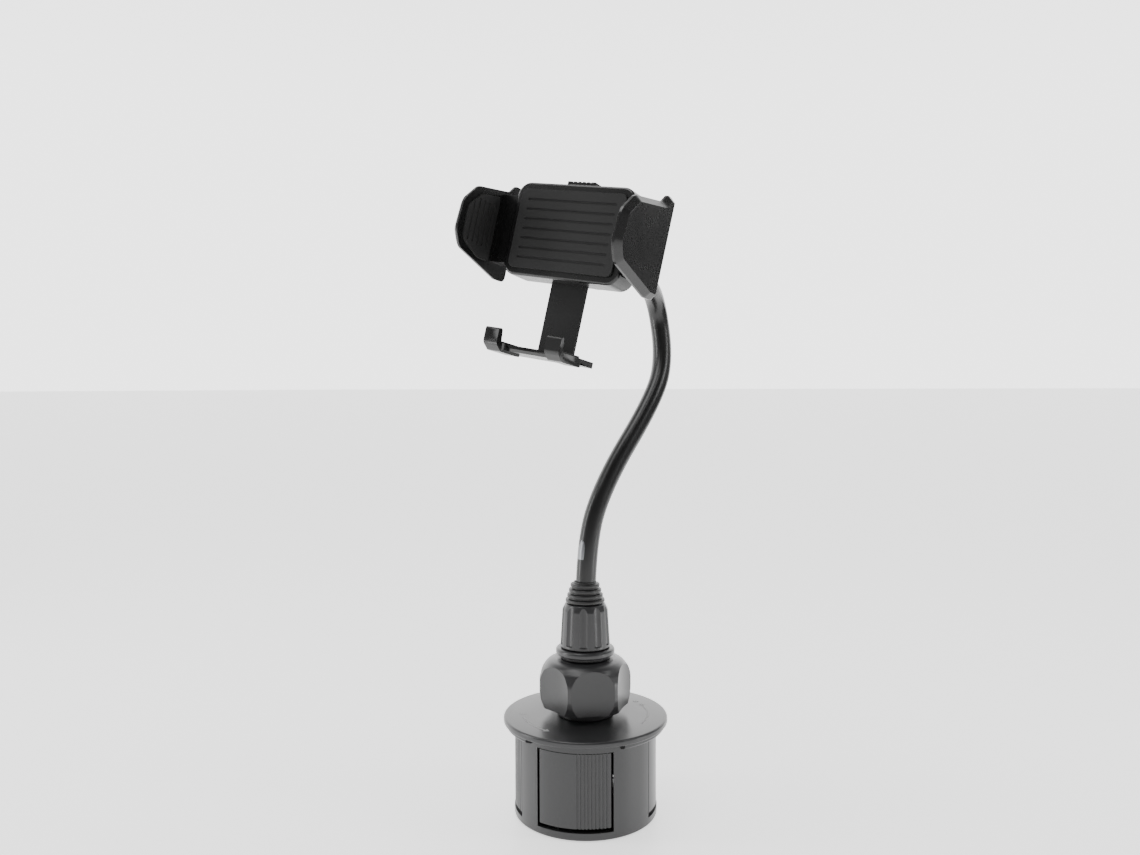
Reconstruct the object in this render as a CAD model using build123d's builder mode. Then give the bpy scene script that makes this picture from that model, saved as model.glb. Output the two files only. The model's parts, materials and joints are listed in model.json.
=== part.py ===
"""Gooseneck cup-holder phone mount: expanding base, bendable neck, ball joint and spring cradle.

Frame: millimetres, +Z up, origin at the centre of the base's underside, cradle facing -Y.
"""
from build123d import *
import os
from math import atan2, cos, degrees, pi, radians, sin, sqrt, tan

os.makedirs("parts", exist_ok=True)

# ------------------------------------------------------------------ clearances
running_gap = 0.3          # between pieces that move past each other
shaft_gap = 0.1            # radial, between a shaft and the bore that turns on it
hair = 0.01                # overshoot of a cutting tool past the face that it cuts

# ------------------------------------------------------------------ base
barrel_r = 33.8            # fits a cup holder of 68 mm and up
barrel_wall = 2.6
barrel_bottom = 0.4
barrel_top = 43.2
window_width = 34.6
window_bottom = 4.1
window_top = 40.0
window_yaw = -68.8         # direction that the first window faces
window_steps = (0.0, 98.4, 180.0, 278.4)   # turns from the first window to each of the four
flare_r = 37.4             # rim under the flange, beside the first and third windows
flare_bottom = 40.4
flare_drop = 1.8           # height of the slope under the rim
flare_clear_angle = 74.0   # width of the stretch with no flare
foot_pad_r = 29.3
foot_pad_thick = 1.2
bottom_plate_thick = 2.4
flange_r = 38.8
flange_bottom = 44.0
flange_thick = 2.8
spigot_wall = 2.2
spigot_depth = 2.4
boss_ring_r = 26.8
boss_r = 3.2
deck_bottom = 27.0
deck_thick = 2.6
deck_r = 27.6
post_r = 5.5               # fixed post that carries the neck through the knob
post_top = 88.0
collar_r = 13.9
collar_bottom = 75.6
collar_thick = 3.3
collar_foot_r = 11.8       # narrower step that stands in the knob's top

# ------------------------------------------------------------------ expanding wings
wing_travel = 8.0
wing_back = 28.0           # radius of the flat back of the panel
wing_side_gap = 1.1        # each side of the panel, in its window
wing_inset = 0.3           # panel face below the barrel's surface
wing_top_gap = 0.4
wing_bottom_gap = 1.8
tongue_half = 6.0
tongue_thick = 3.0
rail_wall = 2.0
pin_r = 1.5
pin_ring_r = 12.0          # radius of the pins with the wings shut
cam_turn = 120.0           # knob turn that opens the wings fully
cam_r = 24.0
cam_thick = 3.6
slot_gap = 0.25
rib_count = 9              # fine upright ribs on each panel
rib_pitch = 1.6
rib_depth = 0.35

# ------------------------------------------------------------------ knob
knob_r = 21.9
knob_bottom = 47.1
knob_body_bottom = 51.2    # the knob overhangs its collar here
knob_body_bottom_r = 20.2
knob_widest_low = 59.0
knob_widest_high = 64.0
knob_top = 73.8
knob_top_r = 15.2
thrust_r = 13.2            # collar of the knob that bears on the flange
core_inner_r = 14.4        # ring-shaped hollow moulded in the knob's underside
core_outer_r = 16.6
core_top = 66.0
facet_count = 6
facet_yaw = -49.0
facet_r = 60.0             # hollow of each facet
facet_depth = 3.4
hub_r = 12.0

# ------------------------------------------------------------------ neck nut and strain relief
nut_bottom_r = 11.8
nut_top_r = 10.6
nut_crown_r = 9.4
nut_height = 20.6
nut_crown = 2.4
flute_count = 10
flute_r = 3.0
flute_depth = 0.9
collet_r = 7.0
relief_bottom_r = 9.3
relief_top_r = 6.9
relief_ribs = 4
relief_height = 9.6

# ------------------------------------------------------------------ gooseneck
neck_r = 4.85
neck_wall = 1.25
core_gap = 0.05
neck_socket_depth = 18.0
joint_gap = 0.3            # between a rounded end and the cup around it
neck_points = [            # corners of the neck's route, from the post to the ball stud
    (0.0, 0.0, 126.5),
    (3.2, 12.5, 155.5),
    (12.2, 47.5, 194.9),
    (11.6, 61.8, 215.1),
    (5.5, 66.5, 245.2),
]
neck_last_run = 22.0       # straight run into the ball stud
neck_longest_radius = 80.0
bend_shares = [None, 0.45, 0.28, 0.4]   # bend joint's place along its run
bend_runs = [0, 2, 4, 6]                 # run of the route that each bend joint is on
first_bend_z = 116.0

# ------------------------------------------------------------------ cradle
cradle_centre = (14.9, -41.7, 265.8)
cradle_tilt_back = 8.26
cradle_roll = 9.2
body_half = 29.5
body_low = -19.0
body_high = 22.0
body_back = -15.0
body_front = -1.0
body_split = -7.0
body_wall = 1.6
body_corner = 6.0
pad_thick = 1.0
pad_inset = 3.2
screw_r = 1.0
screw_head_r = 1.9
cover_boss_r = 1.9
cover_boss_x = 26.0
cover_boss_high = 18.6
cover_boss_low = -15.9

grip_half = 37.0           # half the opening between the arm pads, as set
arm_in_travel = 7.0
arm_out_travel = 9.0
arm_wall = 3.6
arm_pad_thick = 1.6
arm_pad_recess = 0.8
arm_back = -15.5
arm_low = -20.8
arm_high = 18.4
arm_hook = 22.2
arm_front = 24.2
arm_bevel = 2.4
plate_back = -10.9
plate_front = -3.0
plate_low = -14.0
plate_high = 16.2
plate_inner = 28.0
rack_back = -9.5
rack_front = -4.5
rack_outer = 12.0
rack_reach = 12.0
ratchet_pitch = 2.0
ratchet_height = 1.0

tooth_module = 1.0
pinion_teeth = 8
pressure_angle = 25.0
rack_addendum = 0.7
pinion_addendum = 0.75
tooth_root_gap = 0.4
backlash = 0.45
axle_r = 1.5

pawl_pivot_x = -2.0
pawl_pivot_y = 15.6
pawl_reach = 8.0
button_travel = 1.5
button_half = 7.0
button_high = 24.2
button_flange_low = 18.9
button_flange_high = 20.1
button_flange_right = 12.0
spring_x = 10.0
spring_ledge = 15.0
spring_wire = 0.25
spring_coil_r = 1.4

stem_back = -12.9
stem_front = -11.3
stem_half = 9.0
foot_drop = 12.0
foot_rise = 8.0
foot_top = -49.4
foot_plate_thick = 2.6
foot_spacing = 31.0
foot_width = 7.0
foot_front = 15.0
foot_heel = -3.0
foot_lip = 5.0
foot_pad_height = 0.8

# ------------------------------------------------------------------ ball joint behind the cradle
ball_r = 8.5
ball_depth = 30.0          # ball centre behind the cradle's pad
liner_wall = 1.3
swivel_flange_r = 15.0
swivel_flange_thick = 2.0
swivel_neck_r = 13.0
swivel_ring_r = 19.0
swivel_ring_lip = 2.0
socket_r = 12.4
socket_end = -33.0
lock_nut_r = 15.6
lock_nut_front = -22.5
lock_nut_end = -37.0
lock_nut_lip = 2.0
lock_nut_mouth = 8.2
lock_grips = 14
stud_r = 3.4
stud_end = -50.0
ferrule_r = 6.2
ferrule_length = 11.0

# ------------------------------------------------------------------ what follows from them
bore_r = barrel_r - barrel_wall
plate_bottom = foot_pad_thick
plate_top = plate_bottom + bottom_plate_thick
deck_top = deck_bottom + deck_thick
wing_r = barrel_r - wing_inset
wing_half = window_width / 2 - wing_side_gap
wing_low = window_bottom + wing_bottom_gap
wing_high = window_top - wing_top_gap
low_tongue_z = wing_low + 0.4
high_tongue_z = deck_top + running_gap
cam_bottom = high_tongue_z + tongue_thick + 1.3
cam_top = cam_bottom + cam_thick
cam_rate = wing_travel / radians(cam_turn)
slot_half = pin_r + slot_gap
nut_bottom = collar_bottom + collar_thick + running_gap
nut_top = nut_bottom + nut_height
relief_bottom = nut_top + 0.6
relief_top = relief_bottom + relief_height
core_r = neck_r - neck_wall - core_gap
pitch_r = tooth_module * pinion_teeth / 2
tooth_pitch = pi * tooth_module

tilt = radians(cradle_tilt_back)
roll = radians(cradle_roll)
facing = Vector(0, -cos(tilt), sin(tilt))
sideways = Vector(cos(roll), -sin(roll) * sin(tilt), -sin(roll) * cos(tilt))
cradle = Plane(origin=cradle_centre, x_dir=sideways, z_dir=facing)
stem_end = cradle.from_local_coords((0, 0, stud_end - 4.0))
neck_corners = [Vector(*point) for point in neck_points] + [stem_end - facing * neck_last_run]


def at_depth(depth):
    """Plane parallel to the cradle's pad, this far in front of it."""
    return cradle.offset(depth)


def side_plane(across):
    """Plane across the cradle: local x runs forward, local y up, normal to the left."""
    return Plane(cradle.from_local_coords((across, 0, 0)), x_dir=cradle.z_dir, z_dir=-cradle.x_dir)


def save(piece, name):
    """Label the piece and write it as its own STEP file."""
    piece.part.label = name
    export_step(piece.part, f"parts/{name}.step")


def window_angles():
    """Directions that the windows face, in degrees."""
    return [window_yaw + step for step in window_steps]


def strip_angles():
    """Directions of the wall's strips between the windows, in degrees."""
    ends = window_angles() + [window_yaw + 360.0]
    return [(start + end) / 2 for start, end in zip(ends, ends[1:])]


def boss_places():
    """Locations of the four screw bosses, each turned to face outwards."""
    return [Location((0, 0, 0), (0, 0, angle)) * Location((boss_ring_r, 0, 0)) for angle in strip_angles()]


def rail_places():
    """Locations of the two guide rails beside each wing's tongues."""
    across = tongue_half + running_gap + rail_wall / 2
    return [
        Location((0, 0, 0), (0, 0, angle)) * Location((19, side * across, 0))
        for angle in window_angles() for side in (-1, 1)
    ]


def sector(angle, width, reach):
    """Corners of a kite that covers this angle from the axis outwards."""
    half = width / 2
    return [
        (0, 0),
        (reach * cos(radians(angle - half)), reach * sin(radians(angle - half))),
        (1.4 * reach * cos(radians(angle)), 1.4 * reach * sin(radians(angle))),
        (reach * cos(radians(angle + half)), reach * sin(radians(angle + half))),
    ]


# ================================================================== base
with BuildPart() as base_barrel:
    with BuildSketch(Plane.XZ):
        with BuildLine():
            Polyline(
                (bore_r, barrel_bottom), (barrel_r - 1.2, barrel_bottom), (barrel_r, barrel_bottom + 1.2),
                (barrel_r, flare_bottom), (flare_r, flare_bottom + flare_drop), (flare_r, flange_bottom),
                (bore_r, flange_bottom), (bore_r, barrel_bottom),
            )
        make_face()
    revolve(axis=Axis.Z)
    with BuildSketch(Plane.XY.offset(flare_bottom - 1)):
        for angle in window_angles()[::2]:
            with BuildLine():
                Polyline(*sector(angle, flare_clear_angle, 60), close=True)
            make_face()
        Circle(barrel_r, mode=Mode.SUBTRACT)
    extrude(amount=10, mode=Mode.SUBTRACT)
    with BuildSketch(Plane.XY.offset(barrel_top)):
        for angle in window_angles()[::2]:
            with BuildLine():
                Polyline(*sector(angle, flare_clear_angle, 60), close=True)
            make_face()
    extrude(amount=10, mode=Mode.SUBTRACT)
    window_middle = (window_bottom + window_top) / 2
    for angle in window_angles():
        with Locations(Location((0, 0, window_middle), (0, 0, angle)) * Location((barrel_r, 0, 0))):
            Box(16, window_width, window_top - window_bottom, mode=Mode.SUBTRACT)
    with BuildSketch(Plane.XY.offset(plate_top)):
        with Locations(*boss_places()):
            Circle(boss_r)
            with Locations((2.4, 0)):
                Rectangle(4.6, 3.0)
    extrude(amount=deck_bottom - plate_top)
    with BuildSketch(Plane.XY.offset(plate_top)):
        with Locations(*boss_places()):
            Circle(screw_r)
    extrude(amount=deck_bottom - plate_top, mode=Mode.SUBTRACT)
save(base_barrel, "base_barrel")

with BuildPart() as bottom_plate:
    with BuildSketch(Plane.XY.offset(plate_bottom)):
        Circle(bore_r)
    extrude(amount=bottom_plate_thick)
    with BuildSketch(Plane.XY.offset(plate_top)):
        with Locations(*rail_places()):
            Rectangle(11, rail_wall)
    extrude(amount=low_tongue_z + tongue_thick - plate_top)
    with BuildSketch(Plane.XY.offset(plate_bottom)):
        with Locations(*boss_places()):
            Circle(screw_r)
        Circle(screw_r)
    extrude(amount=bottom_plate_thick, mode=Mode.SUBTRACT)
    with BuildSketch(Plane.XY.offset(plate_bottom)):
        with Locations(*boss_places()):
            Circle(screw_head_r)
        Circle(screw_head_r)
    extrude(amount=1.2, mode=Mode.SUBTRACT)
save(bottom_plate, "bottom_plate")

with BuildPart() as foot_pad:
    with BuildSketch():
        Circle(foot_pad_r)
    extrude(amount=foot_pad_thick)
save(foot_pad, "foot_pad")

with BuildPart() as guide_deck:
    with BuildSketch(Plane.XY.offset(deck_bottom)):
        Circle(deck_r)
        with Locations(*boss_places()):
            Circle(boss_r)
        Circle(post_r, mode=Mode.SUBTRACT)
    extrude(amount=deck_thick)
    with BuildSketch(Plane.XY.offset(deck_top)):
        with Locations(*rail_places()):
            Rectangle(11, rail_wall)
    extrude(amount=tongue_thick)
    with BuildSketch(Plane.XY.offset(deck_bottom)):
        with Locations(*boss_places()):
            Circle(screw_r)
    extrude(amount=deck_thick, mode=Mode.SUBTRACT)
save(guide_deck, "guide_deck")

with BuildPart() as base_screws:
    with BuildSketch(Plane.XY.offset(plate_bottom)):
        with Locations(*boss_places()):
            Circle(screw_head_r)
    extrude(amount=1.2)
    with BuildSketch(Plane.XY.offset(plate_bottom)):
        with Locations(*boss_places()):
            Circle(screw_r)
    extrude(amount=9.0)
save(base_screws, "base_screws")

with BuildPart() as deck_screws:
    with BuildSketch(Plane.XY.offset(deck_top)):
        with Locations(*boss_places()):
            Circle(screw_head_r)
    extrude(amount=1.2)
    with BuildSketch(Plane.XY.offset(deck_top)):
        with Locations(*boss_places()):
            Circle(screw_r)
    extrude(amount=-9.0)
save(deck_screws, "deck_screws")

with BuildPart() as top_flange:
    with BuildSketch(Plane.XY.offset(flange_bottom)):
        Circle(flange_r)
    extrude(amount=flange_thick)
    rim = top_flange.edges().filter_by(GeomType.CIRCLE)
    fillet(rim.group_by(Axis.Z)[-1], 0.9)
    chamfer(rim.group_by(Axis.Z)[0], 0.4)
    with BuildSketch(Plane.XY.offset(flange_bottom)):
        Circle(bore_r)
        Circle(bore_r - spigot_wall, mode=Mode.SUBTRACT)
    extrude(amount=-spigot_depth)
    with BuildSketch(Plane.XY.offset(flange_bottom)):
        Circle(hub_r + running_gap)
    extrude(amount=flange_thick, mode=Mode.SUBTRACT)
save(top_flange, "top_flange")

with BuildPart() as neck_post:
    with BuildSketch(Plane.XY.offset(plate_top)):
        Circle(post_r)
    extrude(amount=post_top - plate_top)
    with BuildSketch(Plane.XY.offset(post_top)):
        Circle(neck_r - neck_wall - core_gap)
    extrude(amount=-neck_socket_depth, mode=Mode.SUBTRACT)
    with BuildSketch(Plane.XY.offset(plate_top)):
        Circle(screw_r)
    extrude(amount=12, mode=Mode.SUBTRACT)
save(neck_post, "neck_post")

with BuildPart() as post_screw:
    with BuildSketch(Plane.XY.offset(plate_bottom)):
        Circle(screw_head_r)
    extrude(amount=1.2)
    with BuildSketch(Plane.XY.offset(plate_bottom)):
        Circle(screw_r)
    extrude(amount=13.0)
save(post_screw, "post_screw")

with BuildPart() as collar_ring:
    with BuildSketch(Plane.XY.offset(collar_bottom)):
        Circle(collar_r)
        Circle(post_r, mode=Mode.SUBTRACT)
    extrude(amount=collar_thick)
    fillet(collar_ring.edges().filter_by(GeomType.CIRCLE).sort_by(SortBy.RADIUS)[-2:], 1.2)
    with BuildSketch(Plane.XY.offset(knob_top + running_gap)):
        Circle(collar_foot_r)
        Circle(post_r, mode=Mode.SUBTRACT)
    extrude(amount=collar_bottom - knob_top - running_gap)
save(collar_ring, "collar_ring")


# ================================================================== wings
def make_wing(number):
    """One sliding panel with its two tongues and its cam pin, shut, facing its own window."""
    yaw = window_angles()[number]
    face = Plane.XY.rotated((0, 0, yaw))
    with BuildPart() as wing:
        with BuildSketch(face.offset(wing_low)):
            Circle(wing_r)
            with Locations((wing_back + 10, 0)):
                Rectangle(20, 2 * wing_half, mode=Mode.INTERSECT)
        extrude(amount=wing_high - wing_low)
        with BuildSketch(face.offset(wing_low)):
            for i in range(rib_count):
                across = wing_half - 1.6 - i * rib_pitch
                with Locations((sqrt(wing_r ** 2 - across ** 2), across)):
                    Rectangle(2 * rib_depth, rib_pitch / 2)
        extrude(amount=wing_high - wing_low, mode=Mode.SUBTRACT)
        with BuildSketch(face.offset(low_tongue_z)):
            with Locations(((wing_back + 14) / 2, 0)):
                Rectangle(wing_back - 14, 2 * tongue_half)
        extrude(amount=tongue_thick)
        with BuildSketch(face.offset(high_tongue_z)):
            with Locations(((wing_back + pin_ring_r) / 2, 0)):
                Rectangle(wing_back - pin_ring_r, 2 * pin_r + 1)
            with Locations(((wing_back + 15) / 2, 0)):
                Rectangle(wing_back - 15, 2 * tongue_half)
            with Locations((pin_ring_r, 0)):
                Circle(pin_r + 0.5)
        extrude(amount=tongue_thick)
        with BuildSketch(face.offset(high_tongue_z + tongue_thick)):
            with Locations((pin_ring_r, 0)):
                Circle(pin_r)
        extrude(amount=cam_top - high_tongue_z - tongue_thick)
    save(wing, f"wing_{number + 1}")


for number in range(len(window_steps)):
    make_wing(number)

# ================================================================== knob and cam
with BuildPart() as adjust_knob:
    with BuildSketch(Plane.XZ):
        with BuildLine():
            Polyline(
                (post_r + shaft_gap, cam_top), (hub_r, cam_top), (hub_r, knob_bottom),
                (thrust_r, knob_bottom), (thrust_r, knob_body_bottom), (knob_body_bottom_r, knob_body_bottom),
            )
            Spline(
                (knob_body_bottom_r, knob_body_bottom), (knob_r - 0.5, knob_body_bottom + 3.4),
                (knob_r, knob_widest_low),
                tangents=[(1, 1.6), (0, 1)],
            )
            Line((knob_r, knob_widest_low), (knob_r, knob_widest_high))
            Spline(
                (knob_r, knob_widest_high), (knob_r - 2.3, knob_widest_high + 6.2), (knob_top_r, knob_top),
                tangents=[(0, 1), (-1, 0.12)],
            )
            Polyline(
                (knob_top_r, knob_top), (post_r + shaft_gap, knob_top), (post_r + shaft_gap, cam_top),
            )
        make_face()
    revolve(axis=Axis.Z)
    with Locations((0, 0, knob_body_bottom)):
        with PolarLocations(knob_r + facet_r - facet_depth, facet_count, start_angle=facet_yaw):
            Cylinder(facet_r, 40, align=(Align.CENTER, Align.CENTER, Align.MIN), mode=Mode.SUBTRACT)
    with BuildSketch(Plane.XY.offset(knob_body_bottom)):
        Circle(core_outer_r)
        Circle(core_inner_r, mode=Mode.SUBTRACT)
    extrude(amount=core_top - knob_body_bottom, mode=Mode.SUBTRACT)
    with BuildSketch(Plane.XY.offset(cam_top)):
        with PolarLocations(8.8, 3):
            Circle(screw_r)
    extrude(amount=10, mode=Mode.SUBTRACT)
save(adjust_knob, "adjust_knob")


def slot_edge(angle, offset):
    """Points of one edge of a scroll slot, offset square to its spiral."""
    points = []
    steps = 10
    for i in range(steps + 1):
        turn = radians(cam_turn) * i / steps
        radius = pin_ring_r + cam_rate * turn
        lean = atan2(cam_rate, radius)
        theta = radians(angle) + turn
        points.append((
            radius * cos(theta) + offset * cos(theta - lean),
            radius * sin(theta) + offset * sin(theta - lean),
        ))
    return points


with BuildPart() as scroll_cam:
    with BuildSketch(Plane.XY.offset(cam_bottom)):
        Circle(cam_r)
        Circle(post_r + shaft_gap, mode=Mode.SUBTRACT)
        with PolarLocations(8.8, 3):
            Circle(screw_r, mode=Mode.SUBTRACT)
    extrude(amount=cam_thick)
    for angle in window_angles():
        inner = slot_edge(angle, -slot_half)
        outer = slot_edge(angle, slot_half)
        middle = slot_edge(angle, 0)
        with BuildSketch(Plane.XY.offset(cam_bottom)):
            with BuildLine():
                Spline(*inner)
                Line(inner[-1], outer[-1])
                Spline(*outer[::-1])
                Line(outer[0], inner[0])
            make_face()
            with Locations(middle[0], middle[-1]):
                Circle(slot_half)
        extrude(amount=cam_thick, mode=Mode.SUBTRACT)
save(scroll_cam, "scroll_cam")

with BuildPart() as cam_screws:
    with BuildSketch(Plane.XY.offset(cam_bottom - 0.9)):
        with PolarLocations(8.8, 3):
            Circle(1.5)
    extrude(amount=0.9)
    with BuildSketch(Plane.XY.offset(cam_bottom)):
        with PolarLocations(8.8, 3):
            Circle(screw_r)
    extrude(amount=cam_thick + 7)
save(cam_screws, "cam_screws")

# ================================================================== neck nut, collet, strain relief
with BuildPart() as neck_nut:
    with BuildSketch(Plane.XZ):
        with BuildLine():
            Polyline(
                (post_r + running_gap, nut_bottom), (nut_bottom_r, nut_bottom),
                (nut_top_r, nut_top - nut_crown), (nut_crown_r, nut_top), (collet_r + running_gap, nut_top),
                (collet_r + running_gap, post_top), (post_r + running_gap, post_top),
                (post_r + running_gap, nut_bottom),
            )
        make_face()
    revolve(axis=Axis.Z)
    lean = degrees(atan2(nut_bottom_r - nut_top_r, nut_height))
    for i in range(flute_count):
        flute = Plane(
            origin=(nut_bottom_r + flute_r - flute_depth, 0, nut_bottom + 1.6), z_dir=(0, 0, 1)
        ).rotated((0, -lean, 0))
        groove = flute.location * Cylinder(
            flute_r, nut_height, align=(Align.CENTER, Align.CENTER, Align.MIN), mode=Mode.PRIVATE
        )
        add(groove.rotate(Axis.Z, 360.0 / flute_count * i), mode=Mode.SUBTRACT)
save(neck_nut, "neck_nut")

with BuildPart() as neck_collet:
    with BuildSketch(Plane.XY.offset(post_top)):
        Circle(collet_r)
        Circle(neck_r, mode=Mode.SUBTRACT)
    extrude(amount=7.5)
    with BuildSketch(Plane.XY.offset(post_top + 1.5)):
        Rectangle(2 * collet_r + 1, 0.8)
        Rectangle(0.8, 2 * collet_r + 1)
    extrude(amount=6.0, mode=Mode.SUBTRACT)
save(neck_collet, "neck_collet")

with BuildPart() as strain_relief:
    rib_height = relief_height / relief_ribs
    with BuildSketch(Plane.XZ):
        with BuildLine():
            outline = [(neck_r, post_top + 7.5), (collet_r, post_top + 7.5), (collet_r, relief_bottom)]
            for i in range(relief_ribs):
                low = relief_bottom + i * rib_height
                rib_r = relief_bottom_r - (relief_bottom_r - relief_top_r) * i / (relief_ribs - 1)
                outline += [
                    (rib_r - 0.5, low), (rib_r, low + 0.5), (rib_r - 0.2, low + 0.6 * rib_height),
                    (rib_r - 1.4, low + 0.68 * rib_height), (rib_r - 1.4, low + rib_height),
                ]
            outline += [(neck_r, relief_top)]
            Polyline(*outline, close=True)
        make_face()
    revolve(axis=Axis.Z)
save(strain_relief, "strain_relief")


# ================================================================== gooseneck
route = [Vector(0, 0, post_top + 0.5)] + neck_corners + [stem_end]
bends = [Vector(0, 0, first_bend_z)]
for run, share in zip(bend_runs[1:], bend_shares[1:]):
    bends.append(route[run] + (route[run + 1] - route[run]) * share)


def neck_path(points):
    """Straight runs joined by tangent arcs, each as large as its two runs allow."""
    runs = [b - a for a, b in zip(points, points[1:])]
    if len(runs) == 1:
        return Line(*points)
    room = [run.length * (0.94 if i in (0, len(runs) - 1) else 0.47) for i, run in enumerate(runs)]
    radii = []
    for i in range(len(runs) - 1):
        half_turn = radians(runs[i].get_angle(runs[i + 1])) / 2
        radii.append(min(min(room[i], room[i + 1]) / tan(half_turn), neck_longest_radius))
    print("neck arcs", [round(radius, 1) for radius in radii])
    return FilletPolyline(*points, radius=radii)


def make_segment(number):
    """One length of the neck: a sleeve with a rounded upper end and a cupped lower end, and its core."""
    last = len(bends)
    start = bends[number - 1] if number else route[0]
    end = bends[number] if number < last else route[-1]
    first_corner = bend_runs[number - 1] if number else 0
    last_corner = bend_runs[number] if number < last else len(neck_corners)
    corners = neck_corners[first_corner:last_corner]
    with BuildLine() as path:
        neck_path([start] + corners + [end])
    across = Plane(path.line @ 0, z_dir=path.line % 0)
    with BuildPart() as sleeve:
        with BuildSketch(across):
            Circle(neck_r)
        sweep(path=path.line)
        if number < last:
            with Locations(end):
                Sphere(neck_r)
        if number:
            with Locations(start):
                Sphere(neck_r + joint_gap, mode=Mode.SUBTRACT)
        with BuildSketch(across):
            Circle(core_r + core_gap)
        sweep(path=path.line, mode=Mode.SUBTRACT)
    save(sleeve, f"neck_sleeve_{number + 1}")
    with BuildPart() as core:
        with BuildSketch(across):
            Circle(core_r)
        sweep(path=path.line)
        if number:
            with Locations(start):
                Sphere(neck_r + 3 * joint_gap, mode=Mode.SUBTRACT)
        else:
            with BuildSketch(Plane.XY.offset(post_top + 0.5)):
                Circle(core_r)
            extrude(amount=-neck_socket_depth)
        if number < last:
            with Locations(end):
                Sphere(joint_gap, mode=Mode.SUBTRACT)
    save(core, f"neck_core_{number + 1}")
    return sum(edge.length for edge in path.line.edges())


for number in range(len(bends) + 1):
    print(f"neck segment {number + 1}: {make_segment(number):.1f} mm long")

# ================================================================== ball joint
with BuildPart() as top_ferrule:
    with BuildSketch(at_depth(stud_end)):
        Circle(ferrule_r)
    extrude(amount=-ferrule_length)
    fillet(top_ferrule.edges(), 1.0)
    with BuildSketch(at_depth(stud_end - 4.0)):
        Circle(neck_r)
    extrude(amount=-ferrule_length, mode=Mode.SUBTRACT)
    with BuildSketch(at_depth(stud_end + hair)):
        Circle(stud_r)
    extrude(amount=-ferrule_length, mode=Mode.SUBTRACT)
save(top_ferrule, "top_ferrule")

with BuildPart() as ball_stud:
    with Locations(at_depth(-ball_depth)):
        Sphere(ball_r)
    with BuildSketch(at_depth(-ball_depth)):
        Circle(stud_r)
    extrude(amount=stud_end - 4.0 + ball_depth)
    with BuildSketch(at_depth(stud_end + 2.6)):
        RegularPolygon(ferrule_r - 0.4, 6)
    extrude(amount=-2.6)
save(ball_stud, "ball_stud")

with BuildPart() as ball_liner:
    with Locations(at_depth(-ball_depth)):
        Sphere(ball_r + shaft_gap + liner_wall)
        Sphere(ball_r + shaft_gap, mode=Mode.SUBTRACT)
    with BuildSketch(at_depth(-ball_depth - 0.8)):
        Circle(3 * ball_r)
    extrude(amount=-3 * ball_r, mode=Mode.SUBTRACT)
save(ball_liner, "ball_liner")

swivel_front = body_back - running_gap
swivel_back = swivel_front - swivel_flange_thick
cavity_r = ball_r + shaft_gap + liner_wall + shaft_gap
with BuildPart() as socket_housing:
    with BuildSketch(at_depth(swivel_front)):
        Circle(swivel_flange_r)
    extrude(amount=-swivel_flange_thick)
    with BuildSketch(at_depth(swivel_back)):
        Circle(swivel_neck_r)
    extrude(amount=lock_nut_front + 1 - swivel_back)
    with BuildSketch(at_depth(swivel_back)):
        Circle(socket_r)
    extrude(amount=socket_end - swivel_back)
    with Locations(at_depth(-ball_depth)):
        Sphere(cavity_r, mode=Mode.SUBTRACT)
    with BuildSketch(at_depth(-ball_depth)):
        Circle(cavity_r)
    extrude(amount=socket_end + ball_depth - hair, mode=Mode.SUBTRACT)
save(socket_housing, "socket_housing")

ring_end = swivel_back - running_gap - swivel_ring_lip
with BuildPart() as swivel_ring:
    with BuildSketch(at_depth(body_back)):
        Circle(swivel_ring_r)
    extrude(amount=ring_end - body_back)
    fillet(swivel_ring.edges().sort_by(Axis(cradle_centre, facing))[0], 0.8)
    with BuildSketch(at_depth(body_back)):
        Circle(swivel_flange_r + running_gap)
    extrude(amount=swivel_back - running_gap - body_back, mode=Mode.SUBTRACT)
    with BuildSketch(at_depth(body_back)):
        Circle(swivel_neck_r + running_gap)
    extrude(amount=ring_end - body_back, mode=Mode.SUBTRACT)
    with BuildSketch(at_depth(ring_end)):
        with PolarLocations((swivel_ring_r + swivel_flange_r) / 2, 3, start_angle=90):
            Circle(0.8)
    extrude(amount=-ring_end + body_back, mode=Mode.SUBTRACT)
save(swivel_ring, "swivel_ring")

with BuildPart() as ring_screws:
    with BuildSketch(at_depth(ring_end - 0.6)):
        with PolarLocations((swivel_ring_r + swivel_flange_r) / 2, 3, start_angle=90):
            Circle(1.4)
    extrude(amount=0.6)
    with BuildSketch(at_depth(ring_end)):
        with PolarLocations((swivel_ring_r + swivel_flange_r) / 2, 3, start_angle=90):
            Circle(0.8)
    extrude(amount=body_back + 1.5 - ring_end)
save(ring_screws, "ring_screws")

with BuildPart() as lock_nut:
    with BuildSketch(at_depth(lock_nut_front)):
        Circle(lock_nut_r)
    extrude(amount=lock_nut_end - lock_nut_front)
    chamfer(lock_nut.edges().sort_by(Axis(cradle_centre, facing))[0], 1.6)
    with BuildSketch(at_depth(lock_nut_front)):
        with PolarLocations(lock_nut_r + 0.9, lock_grips):
            Circle(1.6)
    extrude(amount=lock_nut_end - lock_nut_front, mode=Mode.SUBTRACT)
    with BuildSketch(at_depth(lock_nut_front)):
        Circle(socket_r + running_gap)
    extrude(amount=lock_nut_end + lock_nut_lip - lock_nut_front, mode=Mode.SUBTRACT)
    with BuildSketch(at_depth(lock_nut_front)):
        Circle(lock_nut_mouth)
    extrude(amount=lock_nut_end - lock_nut_front, mode=Mode.SUBTRACT)
save(lock_nut, "lock_nut")


# ================================================================== cradle body
def body_outline(inset):
    """The cradle body's rounded outline, seen from the front, drawn this far inside its edge."""
    with Locations((0, (body_high + body_low) / 2)):
        RectangleRounded(
            2 * (body_half - inset), body_high - body_low - 2 * inset, max(body_corner - inset, 1.0)
        )


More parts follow.
